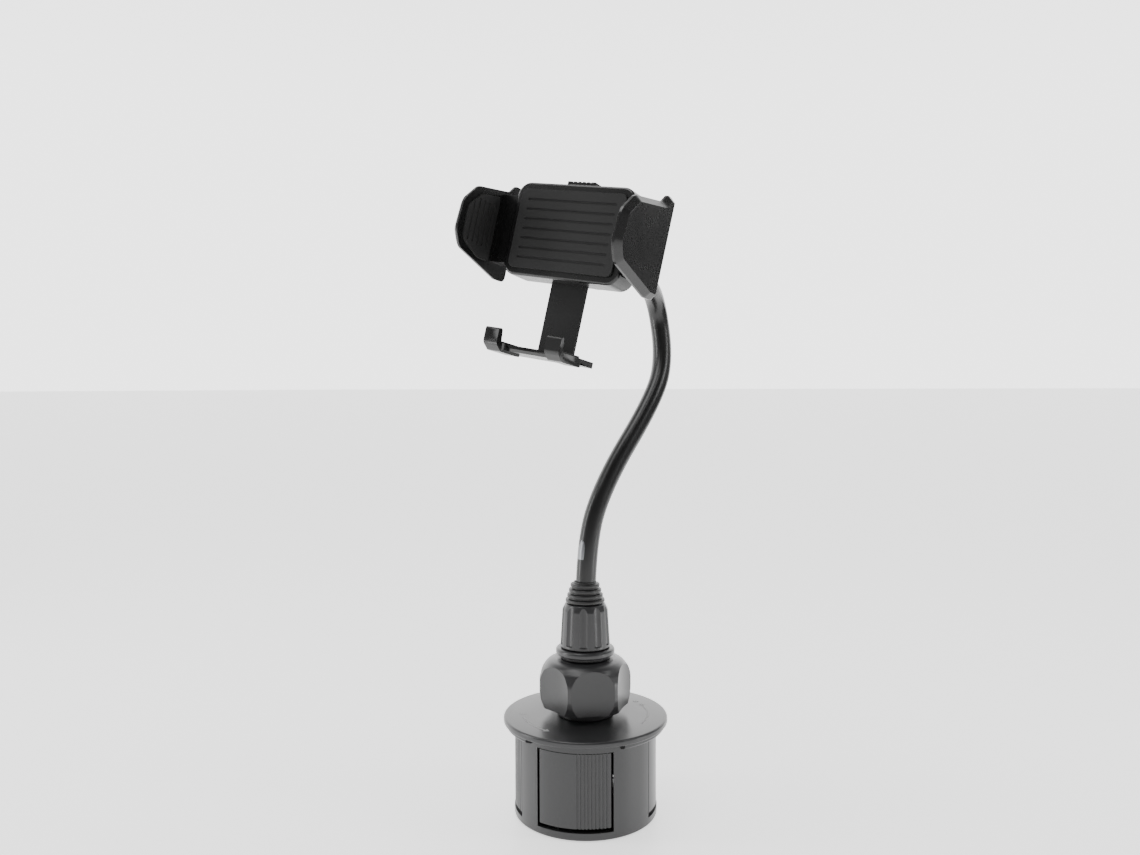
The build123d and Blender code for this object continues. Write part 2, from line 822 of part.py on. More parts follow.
def cover_boss_places():
    """Centres of the four screw bosses, in the cradle's plane."""
    return [
        (cover_boss_x, cover_boss_high), (-cover_boss_x, cover_boss_high),
        (cover_boss_x, cover_boss_low), (-cover_boss_x, cover_boss_low),
    ]


def cut_box(left, right, low, high, back, front):
    """Cut a box, given by its limits across, up and forward in the cradle's frame."""
    with BuildSketch(at_depth(back)) as face:
        with Locations(((left + right) / 2, (low + high) / 2)):
            Rectangle(right - left, high - low)
    extrude(face.sketch, amount=front - back, mode=Mode.SUBTRACT)


def add_box(left, right, low, high, back, front):
    """Add a box, given by its limits across, up and forward in the cradle's frame."""
    with BuildSketch(at_depth(back)) as face:
        with Locations(((left + right) / 2, (low + high) / 2)):
            Rectangle(right - left, high - low)
    extrude(face.sketch, amount=front - back)


def cut_cover_openings():
    """Side mouths for the arms, the top mouth for the button and the bottom mouth for the foot."""
    gap = running_gap
    for left in (-body_half - 1, body_half - body_wall - 1):
        cut_box(
            left, left + body_wall + 2, plate_low - gap, plate_high + gap,
            plate_back - gap, plate_front + gap,
        )
    cut_box(
        -button_half - gap, button_half + gap, body_high - body_wall - 1, body_high + 1,
        rack_back - gap, rack_front + gap,
    )
    cut_box(
        -stem_half - gap, stem_half + gap, body_low - 1, body_low + body_wall + 1,
        stem_back - gap, stem_front + gap,
    )


stem_layer_back = body_back + 1.8
with BuildPart() as back_cover:
    with BuildSketch(at_depth(body_back)):
        body_outline(0)
    extrude(amount=body_split - body_back)
    fillet(back_cover.edges().group_by(Axis(cradle_centre, facing))[0], 1.2)
    with BuildSketch(at_depth(stem_layer_back)):
        body_outline(body_wall)
    extrude(amount=body_split - stem_layer_back, mode=Mode.SUBTRACT)
    with BuildSketch(at_depth(stem_layer_back)):
        with Locations(*cover_boss_places()):
            Circle(cover_boss_r)
    extrude(amount=body_split - stem_layer_back)
    with BuildSketch(at_depth(stem_layer_back)):
        Circle(axle_r)
        with Locations((pawl_pivot_x, pawl_pivot_y)):
            Circle(0.9)
    extrude(amount=plate_front - 0.6 - stem_layer_back)
    add_box(
        spring_x - 1.8, button_flange_right, spring_ledge - 1.4, spring_ledge,
        stem_layer_back, rack_front,
    )
    for side in (-1, 1):
        left = min(side * (stem_half + running_gap), side * (stem_half + running_gap + 1.4))
        add_box(left, left + 1.4, body_low + body_wall, -4.0, stem_layer_back, stem_front)
    cut_cover_openings()
    with BuildSketch(at_depth(body_back)):
        with Locations(*cover_boss_places()):
            Circle(0.8)
    extrude(amount=body_split - body_back, mode=Mode.SUBTRACT)
    with BuildSketch(at_depth(body_back)):
        with Locations(*cover_boss_places()):
            Circle(1.5)
    extrude(amount=1.2, mode=Mode.SUBTRACT)
    with BuildSketch(at_depth(body_back)):
        with PolarLocations((swivel_ring_r + swivel_flange_r) / 2, 3, start_angle=90):
            Circle(0.8)
    extrude(amount=1.8, mode=Mode.SUBTRACT)
save(back_cover, "back_cover")

front_inner = body_front - body_wall
with BuildPart() as front_cover:
    with BuildSketch(at_depth(body_split)):
        body_outline(0)
    extrude(amount=body_front - body_split)
    fillet(front_cover.edges().group_by(Axis(cradle_centre, facing))[-1], 1.2)
    with BuildSketch(at_depth(body_split)):
        body_outline(body_wall)
    extrude(amount=front_inner - body_split, mode=Mode.SUBTRACT)
    with BuildSketch(at_depth(body_split)):
        with Locations(*cover_boss_places()):
            Circle(cover_boss_r)
    extrude(amount=front_inner - body_split)
    cut_cover_openings()
    with BuildSketch(at_depth(body_split)):
        with Locations(*cover_boss_places()):
            Circle(0.8)
    extrude(amount=front_inner - body_split, mode=Mode.SUBTRACT)
save(front_cover, "front_cover")

with BuildPart() as front_pad:
    with BuildSketch(at_depth(body_front)):
        body_outline(pad_inset)
    extrude(amount=pad_thick)
    with BuildSketch(at_depth(body_front + 0.5)):
        for i in range(-3, 4):
            with Locations((0, (body_high + body_low) / 2 + 4.2 * i)):
                SlotOverall(2 * (body_half - pad_inset) - 8, 1.0)
    extrude(amount=pad_thick, mode=Mode.SUBTRACT)
save(front_pad, "front_pad")

with BuildPart() as cover_screws:
    with BuildSketch(at_depth(body_back)):
        with Locations(*cover_boss_places()):
            Circle(1.5)
    extrude(amount=1.2)
    with BuildSketch(at_depth(body_back)):
        with Locations(*cover_boss_places()):
            Circle(0.8)
    extrude(amount=11.0)
save(cover_screws, "cover_screws")


# ================================================================== pinion and racks
def rack_teeth(low, high, facing_up):
    """Teeth along the inner edge of a rack, clear of the pinion's axis, between two places."""
    lean = tan(radians(pressure_angle))
    root = pitch_r + pinion_addendum + tooth_root_gap
    tip = pitch_r - rack_addendum
    half_pitch_line = (tooth_pitch / 2 - backlash / 2) / 2
    half_tip = half_pitch_line - rack_addendum * lean
    half_root = half_pitch_line + (root - pitch_r) * lean
    first = int(low / tooth_pitch - 0.5) - 1
    for i in range(first, first + int((high - low) / tooth_pitch) + 4):
        middle = (i + 0.5) * tooth_pitch
        if middle - half_root < low or middle + half_root > high:
            continue
        with BuildLine() as tooth:
            Polyline(
                (middle - half_root, facing_up * (root + 0.2)), (middle - half_root, facing_up * root),
                (middle - half_tip, facing_up * tip), (middle + half_tip, facing_up * tip),
                (middle + half_root, facing_up * root), (middle + half_root, facing_up * (root + 0.2)),
                close=True,
            )
        make_face(tooth.edges())


def involute_tooth(middle_angle):
    """Outline of one pinion tooth: two involute flanks on radial roots, with an arc-free tip."""
    base_r = pitch_r * cos(radians(pressure_angle))
    tip_r = pitch_r + pinion_addendum
    root_r = pitch_r - rack_addendum - tooth_root_gap
    def roll_angle(radius):
        return sqrt(max((radius / base_r) ** 2 - 1, 0.0))
    def involute(radius):
        rolled = roll_angle(radius)
        return rolled - atan2(rolled, 1)
    half_pitch = (tooth_pitch / 2 - backlash / 2) / (2 * pitch_r)
    half_base = half_pitch + involute(pitch_r)
    steps = 5
    flank = [(root_r - 0.3, half_base), (base_r, half_base)]
    for i in range(1, steps + 1):
        radius = base_r + (tip_r - base_r) * i / steps
        flank.append((radius, half_base - involute(radius)))
    left = [(r * cos(middle_angle + a), r * sin(middle_angle + a)) for r, a in flank]
    right = [(r * cos(middle_angle - a), r * sin(middle_angle - a)) for r, a in flank]
    return left + right[::-1]


with BuildPart() as pinion:
    with BuildSketch(at_depth(rack_back)):
        Circle(pitch_r - rack_addendum - tooth_root_gap)
        for i in range(pinion_teeth):
            with BuildLine():
                Polyline(*involute_tooth(radians(90 + 360.0 / pinion_teeth * i)), close=True)
            make_face()
        Circle(axle_r + shaft_gap, mode=Mode.SUBTRACT)
    extrude(amount=rack_front - rack_back)
save(pinion, "pinion")

coil_r = axle_r + 1.1
coil_low = rack_front + 0.45
with BuildPart() as pinion_spring:
    with BuildLine() as coil:
        Helix(pitch=0.62, height=0.62, radius=coil_r, center=at_depth(coil_low).origin, direction=facing)
    with BuildSketch(Plane(coil.line @ 0, z_dir=coil.line % 0)):
        Circle(spring_wire)
    sweep(path=coil.line, is_frenet=True)
save(pinion_spring, "pinion_spring")


# ================================================================== arms
def arm_outline():
    """Side view of the grip wall: x forward from the pad, y up from the cradle's centre."""
    with BuildLine() as outline:
        FilletPolyline(
            (arm_back, arm_low), (arm_back + 7.5, arm_low - 0.2), (20.0, -13.6),
            (arm_front, -7.0), (arm_front - 1.2, 6.5), (15.5, 14.2), (-6.5, arm_high),
            (arm_back + 5.4, arm_hook), (arm_back, arm_hook),
            radius=[0.8, 6.0, 5.0, 8.0, 6.0, 5.0, 4.0, 1.6, 1.6], close=True,
        )
    make_face(outline.edges())


def arm_pad_outline():
    """Side view of the rubber pad and of the recess that holds it."""
    with BuildLine() as outline:
        FilletPolyline(
            (0, -15.0), (8.0, -15.0), (20.0, -9.6), (20.4, 4.6), (13.0, 11.4), (0, 14.0),
            radius=[1.5, 5.0, 5.0, 4.0, 4.0, 1.5], close=True,
        )
    make_face(outline.edges())


def make_arm(side, name):
    """One L-shaped arm: grip wall, thick plate that enters the body, and rack with teeth."""
    inner = grip_half + arm_pad_thick - arm_pad_recess
    outer = inner + arm_wall
    with BuildPart() as arm:
        with BuildSketch(side_plane(side * inner)):
            arm_outline()
        extrude(amount=-side * (arm_wall - arm_bevel))
        with BuildSketch(side_plane(side * (outer - arm_bevel))):
            arm_outline()
        extrude(amount=-side * arm_bevel, taper=45)
        with BuildSketch(side_plane(side * inner)):
            arm_pad_outline()
        extrude(amount=-side * arm_pad_recess, mode=Mode.SUBTRACT)
        far = side * (inner + 0.5)
        near = side * plate_inner
        add_box(min(near, far), max(near, far), plate_low, plate_high, plate_back, plate_front)
        cut_near = side * (plate_inner + 1.6)
        cut_far = side * (inner - 1.6)
        cut_box(
            min(cut_near, cut_far), max(cut_near, cut_far), plate_low + 1.6, plate_high - 1.6,
            plate_back - 1, plate_front - 1.6,
        )
        rack_root = pitch_r + pinion_addendum + tooth_root_gap
        reach = sorted((-side * rack_reach, side * (plate_inner + 1)))
        low, high = sorted((side * rack_root, side * rack_outer))
        add_box(reach[0], reach[1], low, high, rack_back, rack_front)
        with BuildSketch(at_depth(rack_back)):
            rack_teeth(-rack_reach if side > 0 else -plate_inner, plate_inner if side > 0 else rack_reach, side)
        extrude(amount=rack_front - rack_back)
        if side > 0:
            with BuildSketch(at_depth(rack_back)):
                for i in range(13):
                    start = -rack_reach + 0.5 + ratchet_pitch * i
                    with BuildLine():
                        Polyline(
                            (start, rack_outer - 0.1), (start, rack_outer), (start + 0.2, rack_outer + ratchet_height),
                            (start + ratchet_pitch, rack_outer), (start + ratchet_pitch, rack_outer - 0.1),
                            close=True,
                        )
                    make_face()
            extrude(amount=rack_front - rack_back)
    save(arm, name)


def make_arm_pad(side, name):
    """Ribbed rubber pad in the recess of a grip wall."""
    inner = grip_half + arm_pad_thick - arm_pad_recess
    with BuildPart() as arm_pad:
        with BuildSketch(side_plane(side * (inner + arm_pad_recess))):
            arm_pad_outline()
        extrude(amount=side * arm_pad_thick)
        with BuildSketch(side_plane(side * grip_half)):
            for i in range(5):
                with Locations((3.4 + 3.4 * i, 0)):
                    SlotOverall(19.0, 1.0, rotation=90)
        extrude(amount=-side * 0.5, mode=Mode.SUBTRACT)
    save(arm_pad, name)


make_arm(1, "right_arm")
make_arm(-1, "left_arm")
make_arm_pad(1, "right_arm_pad")
make_arm_pad(-1, "left_arm_pad")

# ================================================================== release button and pawl
with BuildPart() as release_button:
    add_box(
        -button_half, button_half, button_flange_low, button_high, rack_back, rack_front,
    )
    fillet(release_button.edges().group_by(Axis(cradle_centre, cradle.y_dir))[-1], 1.0)
    add_box(
        -button_half, button_flange_right, button_flange_low, button_flange_high, rack_back, rack_front,
    )
    plunger_low = pawl_pivot_y + 1.3
    add_box(pawl_reach - 3.6, pawl_reach - 0.6, plunger_low, button_flange_low, rack_back, rack_front)
save(release_button, "release_button")

with BuildPart() as pawl:
    with BuildSketch(at_depth(rack_back)):
        with Locations((pawl_pivot_x, pawl_pivot_y - 0.3)):
            Circle(1.7)
        with BuildLine():
            Polyline(
                (pawl_pivot_x - 1.5, pawl_pivot_y + 0.9), (pawl_pivot_x, pawl_pivot_y + 1.0),
                (pawl_pivot_x + pawl_reach, pawl_pivot_y + 1.0),
                (pawl_pivot_x + pawl_reach, pawl_pivot_y - 0.2), (pawl_pivot_x, pawl_pivot_y - 0.8),
                (pawl_pivot_x - 4.4, pawl_pivot_y - 0.8),
                (pawl_pivot_x - 6.6, rack_outer + ratchet_height + running_gap),
                (pawl_pivot_x - 7.4, rack_outer + ratchet_height + running_gap),
                (pawl_pivot_x - 7.4, pawl_pivot_y - 0.2), close=True,
            )
        make_face()
        with Locations((pawl_pivot_x, pawl_pivot_y)):
            Circle(0.9 + shaft_gap, mode=Mode.SUBTRACT)
    extrude(amount=rack_front - rack_back)
save(pawl, "pawl")

button_spring_length = button_flange_low - spring_ledge
with BuildPart() as button_spring:
    spring_depth = (rack_back + rack_front) / 2
    spring_foot = cradle.from_local_coords((spring_x, spring_ledge + spring_wire, spring_depth))
    with BuildLine() as coil:
        Helix(
            pitch=0.9, height=button_spring_length - 2 * spring_wire, radius=spring_coil_r,
            center=spring_foot, direction=cradle.y_dir,
        )
    with BuildSketch(Plane(coil.line @ 0, z_dir=coil.line % 0)):
        Circle(spring_wire)
    sweep(path=coil.line, is_frenet=True)
save(button_spring, "button_spring")

# ================================================================== foot bracket
foot_low = foot_top - foot_pad_height - foot_plate_thick
with BuildPart() as foot_bracket:
    add_box(-stem_half, stem_half, foot_low, 4.0, stem_back, stem_front)
    cut_box(-axle_r - 0.5, axle_r + 0.5, -foot_rise - axle_r - 0.5, 5.0, stem_back, stem_front)
    half_span = foot_spacing / 2 + foot_width / 2
    plate_high_edge = foot_top - foot_pad_height
    with BuildSketch(side_plane(half_span)):
        with BuildLine():
            Polyline(
                (stem_back, plate_high_edge), (stem_back, foot_low), (6.0, foot_low),
                (7.2, foot_low + 1.2), (7.2, plate_high_edge), close=True,
            )
        make_face()
    extrude(amount=2 * half_span)
    for side in (-1, 1):
        with BuildSketch(side_plane(side * foot_spacing / 2 + foot_width / 2)):
            with BuildLine():
                FilletPolyline(
                    (foot_heel, foot_low - 1.2), (foot_front - 4, foot_low - 1.2),
                    (foot_front, foot_low + 1.6), (foot_front, foot_top + foot_lip),
                    (foot_front - 2.6, foot_top + foot_lip), (foot_front - 3.4, plate_high_edge),
                    (foot_heel, plate_high_edge),
                    radius=[0.6, 2.2, 2.2, 1.0, 1.0, 1.0, 0.4], close=True,
                )
            make_face()
        extrude(amount=foot_width)
save(foot_bracket, "foot_bracket")

with BuildPart() as foot_pads:
    for side in (-1, 1):
        middle = side * foot_spacing / 2
        with BuildSketch(at_depth(foot_heel + 0.6)):
            with Locations((middle, foot_top - foot_pad_height / 2)):
                Rectangle(foot_width - 1.6, foot_pad_height)
        extrude(amount=foot_front - 5.2 - foot_heel)
save(foot_pads, "foot_pads")
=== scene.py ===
"""Outer pieces, finishes and studio of a gooseneck cup-holder phone mount, around its fixed frame."""

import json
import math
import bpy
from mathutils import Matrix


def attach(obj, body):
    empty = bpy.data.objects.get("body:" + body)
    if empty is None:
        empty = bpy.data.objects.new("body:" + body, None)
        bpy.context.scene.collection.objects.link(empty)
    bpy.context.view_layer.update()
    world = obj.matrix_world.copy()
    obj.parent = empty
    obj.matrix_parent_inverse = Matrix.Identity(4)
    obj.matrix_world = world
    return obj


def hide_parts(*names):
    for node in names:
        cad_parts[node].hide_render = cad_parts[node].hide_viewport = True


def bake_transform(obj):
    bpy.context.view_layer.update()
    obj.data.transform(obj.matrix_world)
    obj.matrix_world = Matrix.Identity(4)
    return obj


bl_info = {
    "name": "Cup-holder phone mount",
    "version": (1, 0, 0),
    "blender": (4, 5, 0),
    "location": "View3D > Sidebar > Phone Mount",
    "description": "Builds the outer pieces, finishes and studio of a gooseneck cup-holder phone mount",
    "category": "Object",
}

import bpy
from mathutils import Matrix, Vector

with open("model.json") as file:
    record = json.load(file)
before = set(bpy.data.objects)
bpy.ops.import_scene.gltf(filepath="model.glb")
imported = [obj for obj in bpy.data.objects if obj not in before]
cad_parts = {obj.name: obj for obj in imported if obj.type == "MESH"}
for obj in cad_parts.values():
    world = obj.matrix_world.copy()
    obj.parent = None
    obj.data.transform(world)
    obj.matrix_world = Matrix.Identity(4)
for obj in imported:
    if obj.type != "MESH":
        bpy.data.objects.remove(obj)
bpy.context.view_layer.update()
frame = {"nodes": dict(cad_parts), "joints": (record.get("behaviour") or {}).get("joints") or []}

MM = 0.001


# ---------------------------------------------------------------- drawing helpers
def mm(*values):
    """Millimetres to metres."""
    return tuple(value * MM for value in values)


def in_mm(value):
    """Metres to millimetres."""
    return value / MM


def polar(radius, degrees):
    """Point at this radius and direction."""
    angle = math.radians(degrees)
    return radius * math.cos(angle), radius * math.sin(angle)


def arc(centre, radius, start, end, steps=8):
    """Points of an arc in a plane, angles in degrees."""
    points = []
    for i in range(steps + 1):
        angle = math.radians(start + (end - start) * i / steps)
        points.append((centre[0] + radius * math.cos(angle), centre[1] + radius * math.sin(angle)))
    return points


def rounded(corners, radii, steps=6):
    """A closed outline whose corners are rounded, each by its own radius."""
    points = []
    count = len(corners)
    for i, corner in enumerate(corners):
        here = Vector(corner)
        before = Vector(corners[i - 1]) - here
        after = Vector(corners[(i + 1) % count]) - here
        half = before.angle(after) / 2
        reach = min(radii[i] / math.tan(half), 0.48 * min(before.length, after.length))
        if reach < 1e-6:
            points.append(tuple(here))
            continue
        radius = reach * math.tan(half)
        middle = (before.normalized() + after.normalized()).normalized()
        centre = here + middle * (radius / math.sin(half))
        first = here + before.normalized() * reach - centre
        sweep = first.angle_signed(here + after.normalized() * reach - centre)
        start = math.atan2(first.y, first.x)
        for k in range(steps + 1):
            angle = start - sweep * k / steps
            points.append((centre.x + radius * math.cos(angle), centre.y + radius * math.sin(angle)))
    return points


def deselect():
    """Leave edit mode with nothing selected."""
    if bpy.context.mode != "OBJECT":
        bpy.ops.object.mode_set(mode="OBJECT")
    bpy.ops.object.select_all(action="DESELECT")


def pick(piece):
    """Make the piece the only selected and active object."""
    deselect()
    piece.select_set(True)
    bpy.context.view_layer.objects.active = piece


def tidy(piece):
    """Merge doubles and point the faces outwards."""
    pick(piece)
    bpy.ops.object.mode_set(mode="EDIT")
    bpy.ops.mesh.select_all(action="SELECT")
    bpy.ops.mesh.remove_doubles(threshold=2e-6)
    bpy.ops.mesh.normals_make_consistent(inside=False)
    bpy.ops.object.mode_set(mode="OBJECT")
    return piece


def edit_rim(piece, axis, place):
    """Open the piece with only the rim at one place along an axis selected, in millimetres."""
    pick(piece)
    for vertex in piece.data.vertices:
        vertex.select = abs(vertex.co[axis] / MM - place) < 0.01
    for part in (*piece.data.edges, *piece.data.polygons):
        part.select = all(piece.data.vertices[i].select for i in part.vertices)
    bpy.ops.object.mode_set(mode="EDIT")


def chain(name, points):
    """A run of edges through points given in millimetres, drawn by extruding one vertex."""
    deselect()
    points = [Vector(point).to_3d() * MM for point in points]
    bpy.ops.mesh.primitive_plane_add(size=MM, location=points[0])
    piece = bpy.context.object
    piece.name = name
    bpy.ops.object.transform_apply(location=True, rotation=False, scale=False)
    bpy.ops.object.mode_set(mode="EDIT")
    bpy.ops.mesh.select_all(action="SELECT")
    bpy.ops.mesh.merge(type="CENTER")
    for here, there in zip(points, points[1:]):
        bpy.ops.mesh.extrude_region_move(TRANSFORM_OT_translate={"value": there - here})
    bpy.ops.mesh.select_all(action="SELECT")
    return piece


def lathe(name, profile, steps=96):
    """Spin a profile of radius and height, in millimetres, about the Z axis."""
    points = [(radius, 0, height) for radius, height in profile]
    if profile[0][0] > 0.001:
        points += points[:1]
    piece = chain(name, points)
    bpy.ops.mesh.spin(steps=steps, angle=2 * math.pi, center=(0, 0, 0), axis=(0, 0, 1))
    return tidy(piece)


def slab(name, outline, low, high):
    """Extrude a closed outline, in millimetres, from one height to another."""
    piece = chain(name, [(x, y, low) for x, y in outline + outline[:1]])
    bpy.ops.mesh.remove_doubles(threshold=2e-6)
    bpy.ops.mesh.edge_face_add()
    bpy.ops.mesh.extrude_region_move(TRANSFORM_OT_translate={"value": (0, 0, (high - low) * MM)})
    return tidy(piece)


def block(name, low, high):
    """A box between two corners, in millimetres, used as a cutter or a start."""
    deselect()
    middle = [(a + b) / 2 * MM for a, b in zip(low, high)]
    bpy.ops.mesh.primitive_cube_add(size=1, location=middle)
    piece = bpy.context.object
    piece.name = name
    piece.scale = [(b - a) * MM for a, b in zip(low, high)]
    bpy.ops.object.transform_apply(location=True, rotation=True, scale=True)
    return piece


def drum(name, radius, low, high, place=(0, 0), sides=64):
    """A cylinder along Z, in millimetres, used as a cutter or a start."""
    deselect()
    bpy.ops.mesh.primitive_cylinder_add(
        vertices=sides, radius=radius * MM, depth=(high - low) * MM,
        location=mm(place[0], place[1], (low + high) / 2),
    )
    piece = bpy.context.object
    piece.name = name
    bpy.ops.object.transform_apply(location=True, rotation=True, scale=True)
    return piece


def placed(piece, matrix):
    """Move the piece by a matrix and keep the move in its mesh."""
    pick(piece)
    piece.matrix_world = matrix
    bpy.ops.object.transform_apply(location=True, rotation=True, scale=True)
    return piece


def turned(piece, degrees):
    """Turn the piece about the Z axis and keep the turn in its mesh."""
    return placed(piece, Matrix.Rotation(math.radians(degrees), 4, "Z"))


def copied(piece, name):
    """A copy with its own mesh."""
    other = piece.copy()
    other.data = piece.data.copy()
    other.name = name
    bpy.context.collection.objects.link(other)
    return other


def joined(name, pieces):
    """Several solids as one piece."""
    deselect()
    for piece in pieces:
        piece.select_set(True)
    bpy.context.view_layer.objects.active = pieces[0]
    if len(pieces) > 1:
        bpy.ops.object.join()
    pieces[0].name = name
    return pieces[0]


def apply_modifier(piece, kind, **settings):
    """Add one modifier and apply it."""
    pick(piece)
    modifier = piece.modifiers.new(kind.title(), kind)
    for key, value in settings.items():
        setattr(modifier, key, value)
    bpy.ops.object.modifier_apply(modifier=modifier.name)
    return piece


def combined(piece, other, operation="DIFFERENCE"):
    """Cut, add or intersect another solid, which is used up."""
    apply_modifier(piece, "BOOLEAN", object=other, operation=operation, solver="EXACT")
    bpy.data.objects.remove(other)
    return piece


def smoothed(piece, degrees):
    """Shade the piece smooth, except at edges sharper than an angle."""
    pick(piece)
    bpy.ops.object.shade_smooth_by_angle(angle=math.radians(degrees))
    return piece


def softened(piece, width, segments=2, angle=30):
    """Round the edges sharper than an angle, by a width in millimetres."""
    apply_modifier(
        piece, "BEVEL", width=width * MM, segments=segments, limit_method="ANGLE",
        angle_limit=math.radians(angle), use_clamp_overlap=True,
    )
    smoothed(piece, angle)
    return apply_modifier(piece, "WEIGHTED_NORMAL", keep_sharp=True, weight=80)


def painted(piece, material):
    """Give the piece this one material."""
    piece.data.materials.clear()
    piece.data.materials.append(material)
    return piece


def settled(piece, body, slot, material, *nodes):
    """Give the piece its material and its body, and hide the frame nodes that it stands for."""
    painted(piece, material)
    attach(piece, body)
    if nodes:
        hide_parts(*nodes)
    return piece


# ---------------------------------------------------------------- material helpers
def srgb(code):
    """A linear colour from an sRGB hex code."""
    values = [int(code[i:i + 2], 16) / 255 for i in (1, 3, 5)]
    linear = [v / 12.92 if v <= 0.04045 else ((v + 0.055) / 1.055) ** 2.4 for v in values]
    return (*linear, 1.0)


def add_node(tree, kind, settings=None, inputs=None):
    """One shader node, with its settings, and values or links for its inputs."""
    made = tree.nodes.new("ShaderNode" + kind)
    for key, value in (settings or {}).items():
        setattr(made, key, value)
    for key, value in (inputs or {}).items():
        if isinstance(value, bpy.types.NodeSocket):
            tree.links.new(value, made.inputs[key])
        else:
            made.inputs[key].default_value = value
    return made


def blended(tree, share, first, second):
    """The colour between two, by a share."""
    mix = add_node(tree, "MixRGB", inputs={"Fac": share})
    mix.inputs["Color1"].default_value = (*first, 1.0)
    mix.inputs["Color2"].default_value = (*second, 1.0)
    return mix.outputs["Color"]


def new_material(name, **surface):
    """A material with one Principled shader, whose plain sockets are given by name."""
    material = bpy.data.materials.new(name)
    material.use_nodes = True
    shader = material.node_tree.nodes["Principled BSDF"]
    for key, value in surface.items():
        shader.inputs[key.replace("_", " ")].default_value = value
    return material, material.node_tree, shader


def wired(tree, shader, tint, gloss, bump):
    """Link a colour, an uneven gloss and a bump to the shader."""
    tree.links.new(tint, shader.inputs["Base Color"])
    tree.links.new(gloss.outputs["Result"], shader.inputs["Roughness"])
    tree.links.new(bump.outputs["Normal"], shader.inputs["Normal"])


def moulded(name, dark, light, roughness, grain_mm, grain_depth_mm, ior=1.54):
    """Injection-moulded plastic: a fine eroded grain, faint flow clouds and uneven gloss."""
    material, tree, shader = new_material(name, IOR=ior)
    place = add_node(tree, "TexCoord").outputs["Object"]
    cloud = add_node(tree, "TexNoise", inputs={"Vector": place, "Scale": 1 / (24 * MM), "Detail": 3.0})
    tint = blended(tree, cloud.outputs["Fac"], dark, light)
    gloss = add_node(tree, "MapRange", inputs={
        "Value": cloud.outputs["Fac"], "From Min": 0.3, "From Max": 0.7,
        "To Min": roughness - 0.015, "To Max": roughness + 0.02,
    })
    grain = add_node(tree, "TexNoise", inputs={
        "Vector": place, "Scale": 1 / (grain_mm * MM), "Detail": 2.0, "Roughness": 0.6,
    })
    bump = add_node(tree, "Bump", inputs={
        "Height": grain.outputs["Fac"], "Distance": grain_depth_mm * MM, "Strength": 1.0,
    })
    wired(tree, shader, tint, gloss, bump)
    return material


# ---------------------------------------------------------------- finishes
def kept(name, make):
    """The finish of this name, made the first time that it is asked for."""
    return bpy.data.materials.get(name) or make(name)


def grey_abs(finish):
    """Moulded ABS with a fine eroded grain: charcoal, satin, with soft bands of reflected light."""
    return kept("Moulded_grey_ABS", lambda name: moulded(
        name, finish.base_dark, finish.base_light, finish.base_roughness, 0.5, 0.012,
    ))


def black_abs(finish):
    """Moulded black ABS, smoother than the base: nearly black, with a tight sheen along its bevels."""
    return kept("Moulded_black_ABS", lambda name: moulded(
        name, finish.cradle_dark, finish.cradle_light, finish.cradle_roughness, 0.4, 0.008,
    ))


def pad_rubber():
    """Moulded silicone rubber: matt black with a dry bloom, which kills every reflection."""
    return kept("Moulded_silicone_rubber", lambda name: moulded(
        name, srgb("#111111")[:3], srgb("#1b1b1b")[:3], 0.72, 0.7, 0.02, ior=1.43,
    ))


def relief_rubber():
    """Moulded thermoplastic elastomer: dark, satin, a little softer in its highlights than the ABS."""
    return kept("Moulded_TPE", lambda name: moulded(
        name, srgb("#191919")[:3], srgb("#202020")[:3], 0.42, 0.6, 0.01, ior=1.5,
    ))


def neck_vinyl(finish):
    """Extruded vinyl sleeve: smooth and black, with long thin highlights and faint die lines."""
    def make(name):
        material, tree, shader = new_material(name, IOR=1.53)
        place = add_node(tree, "TexCoord").outputs["Object"]
        cloud = add_node(tree, "TexNoise", inputs={"Vector": place, "Scale": 1 / (18 * MM), "Detail": 2.0})
        tint = blended(tree, cloud.outputs["Fac"], finish.neck_dark, finish.neck_light)
        gloss = add_node(tree, "MapRange", inputs={
            "Value": cloud.outputs["Fac"], "To Min": 0.26, "To Max": 0.36,
        })
        skin = add_node(tree, "TexNoise", inputs={"Vector": place, "Scale": 1 / (1.4 * MM), "Detail": 3.0})
        bump = add_node(tree, "Bump", inputs={"Height": skin.outputs["Fac"], "Distance": 0.01 * MM})
        wired(tree, shader, tint, gloss, bump)
        return material
    return kept("Extruded_vinyl_sleeve", make)


def steel(name, code, roughness, line_mm):
    """Steel with fine lines round its axis from turning or drawing, and a slightly uneven polish."""
    def make(made_name):
        material, tree, shader = new_material(made_name, Metallic=1.0)
        place = add_node(tree, "TexCoord").outputs["Object"]
        lines = add_node(tree, "TexNoise", inputs={
            "Vector": place, "Scale": 1 / (line_mm * MM), "Detail": 3.0,
        })
        ramp = add_node(tree, "MapRange", inputs={
            "Value": lines.outputs["Fac"], "To Min": roughness - 0.08, "To Max": roughness + 0.1,
        })
        tint = blended(tree, lines.outputs["Fac"], srgb(code)[:3], [v * 0.8 for v in srgb(code)[:3]])
        bump = add_node(tree, "Bump", inputs={"Height": lines.outputs["Fac"], "Distance": 0.004 * MM})
        wired(tree, shader, tint, ramp, bump)
        return material
    return kept(name, make)


def blackened_steel():
    """Blackened screw steel: dark brown-grey metal with a soft oily shine."""
    return steel("Blackened_screw_steel", "#3a3a3c", 0.38, 0.6)


def plated_steel():
    """Nickel-plated turned steel: bright, cool grey, with fine turning lines."""
    return steel("Plated_turned_steel", "#b9bbbd", 0.22, 0.5)


def spring_wire():
    """Drawn spring wire: mid-grey steel with a dull shine."""
    return steel("Drawn_spring_wire", "#8d8f92", 0.33, 0.4)


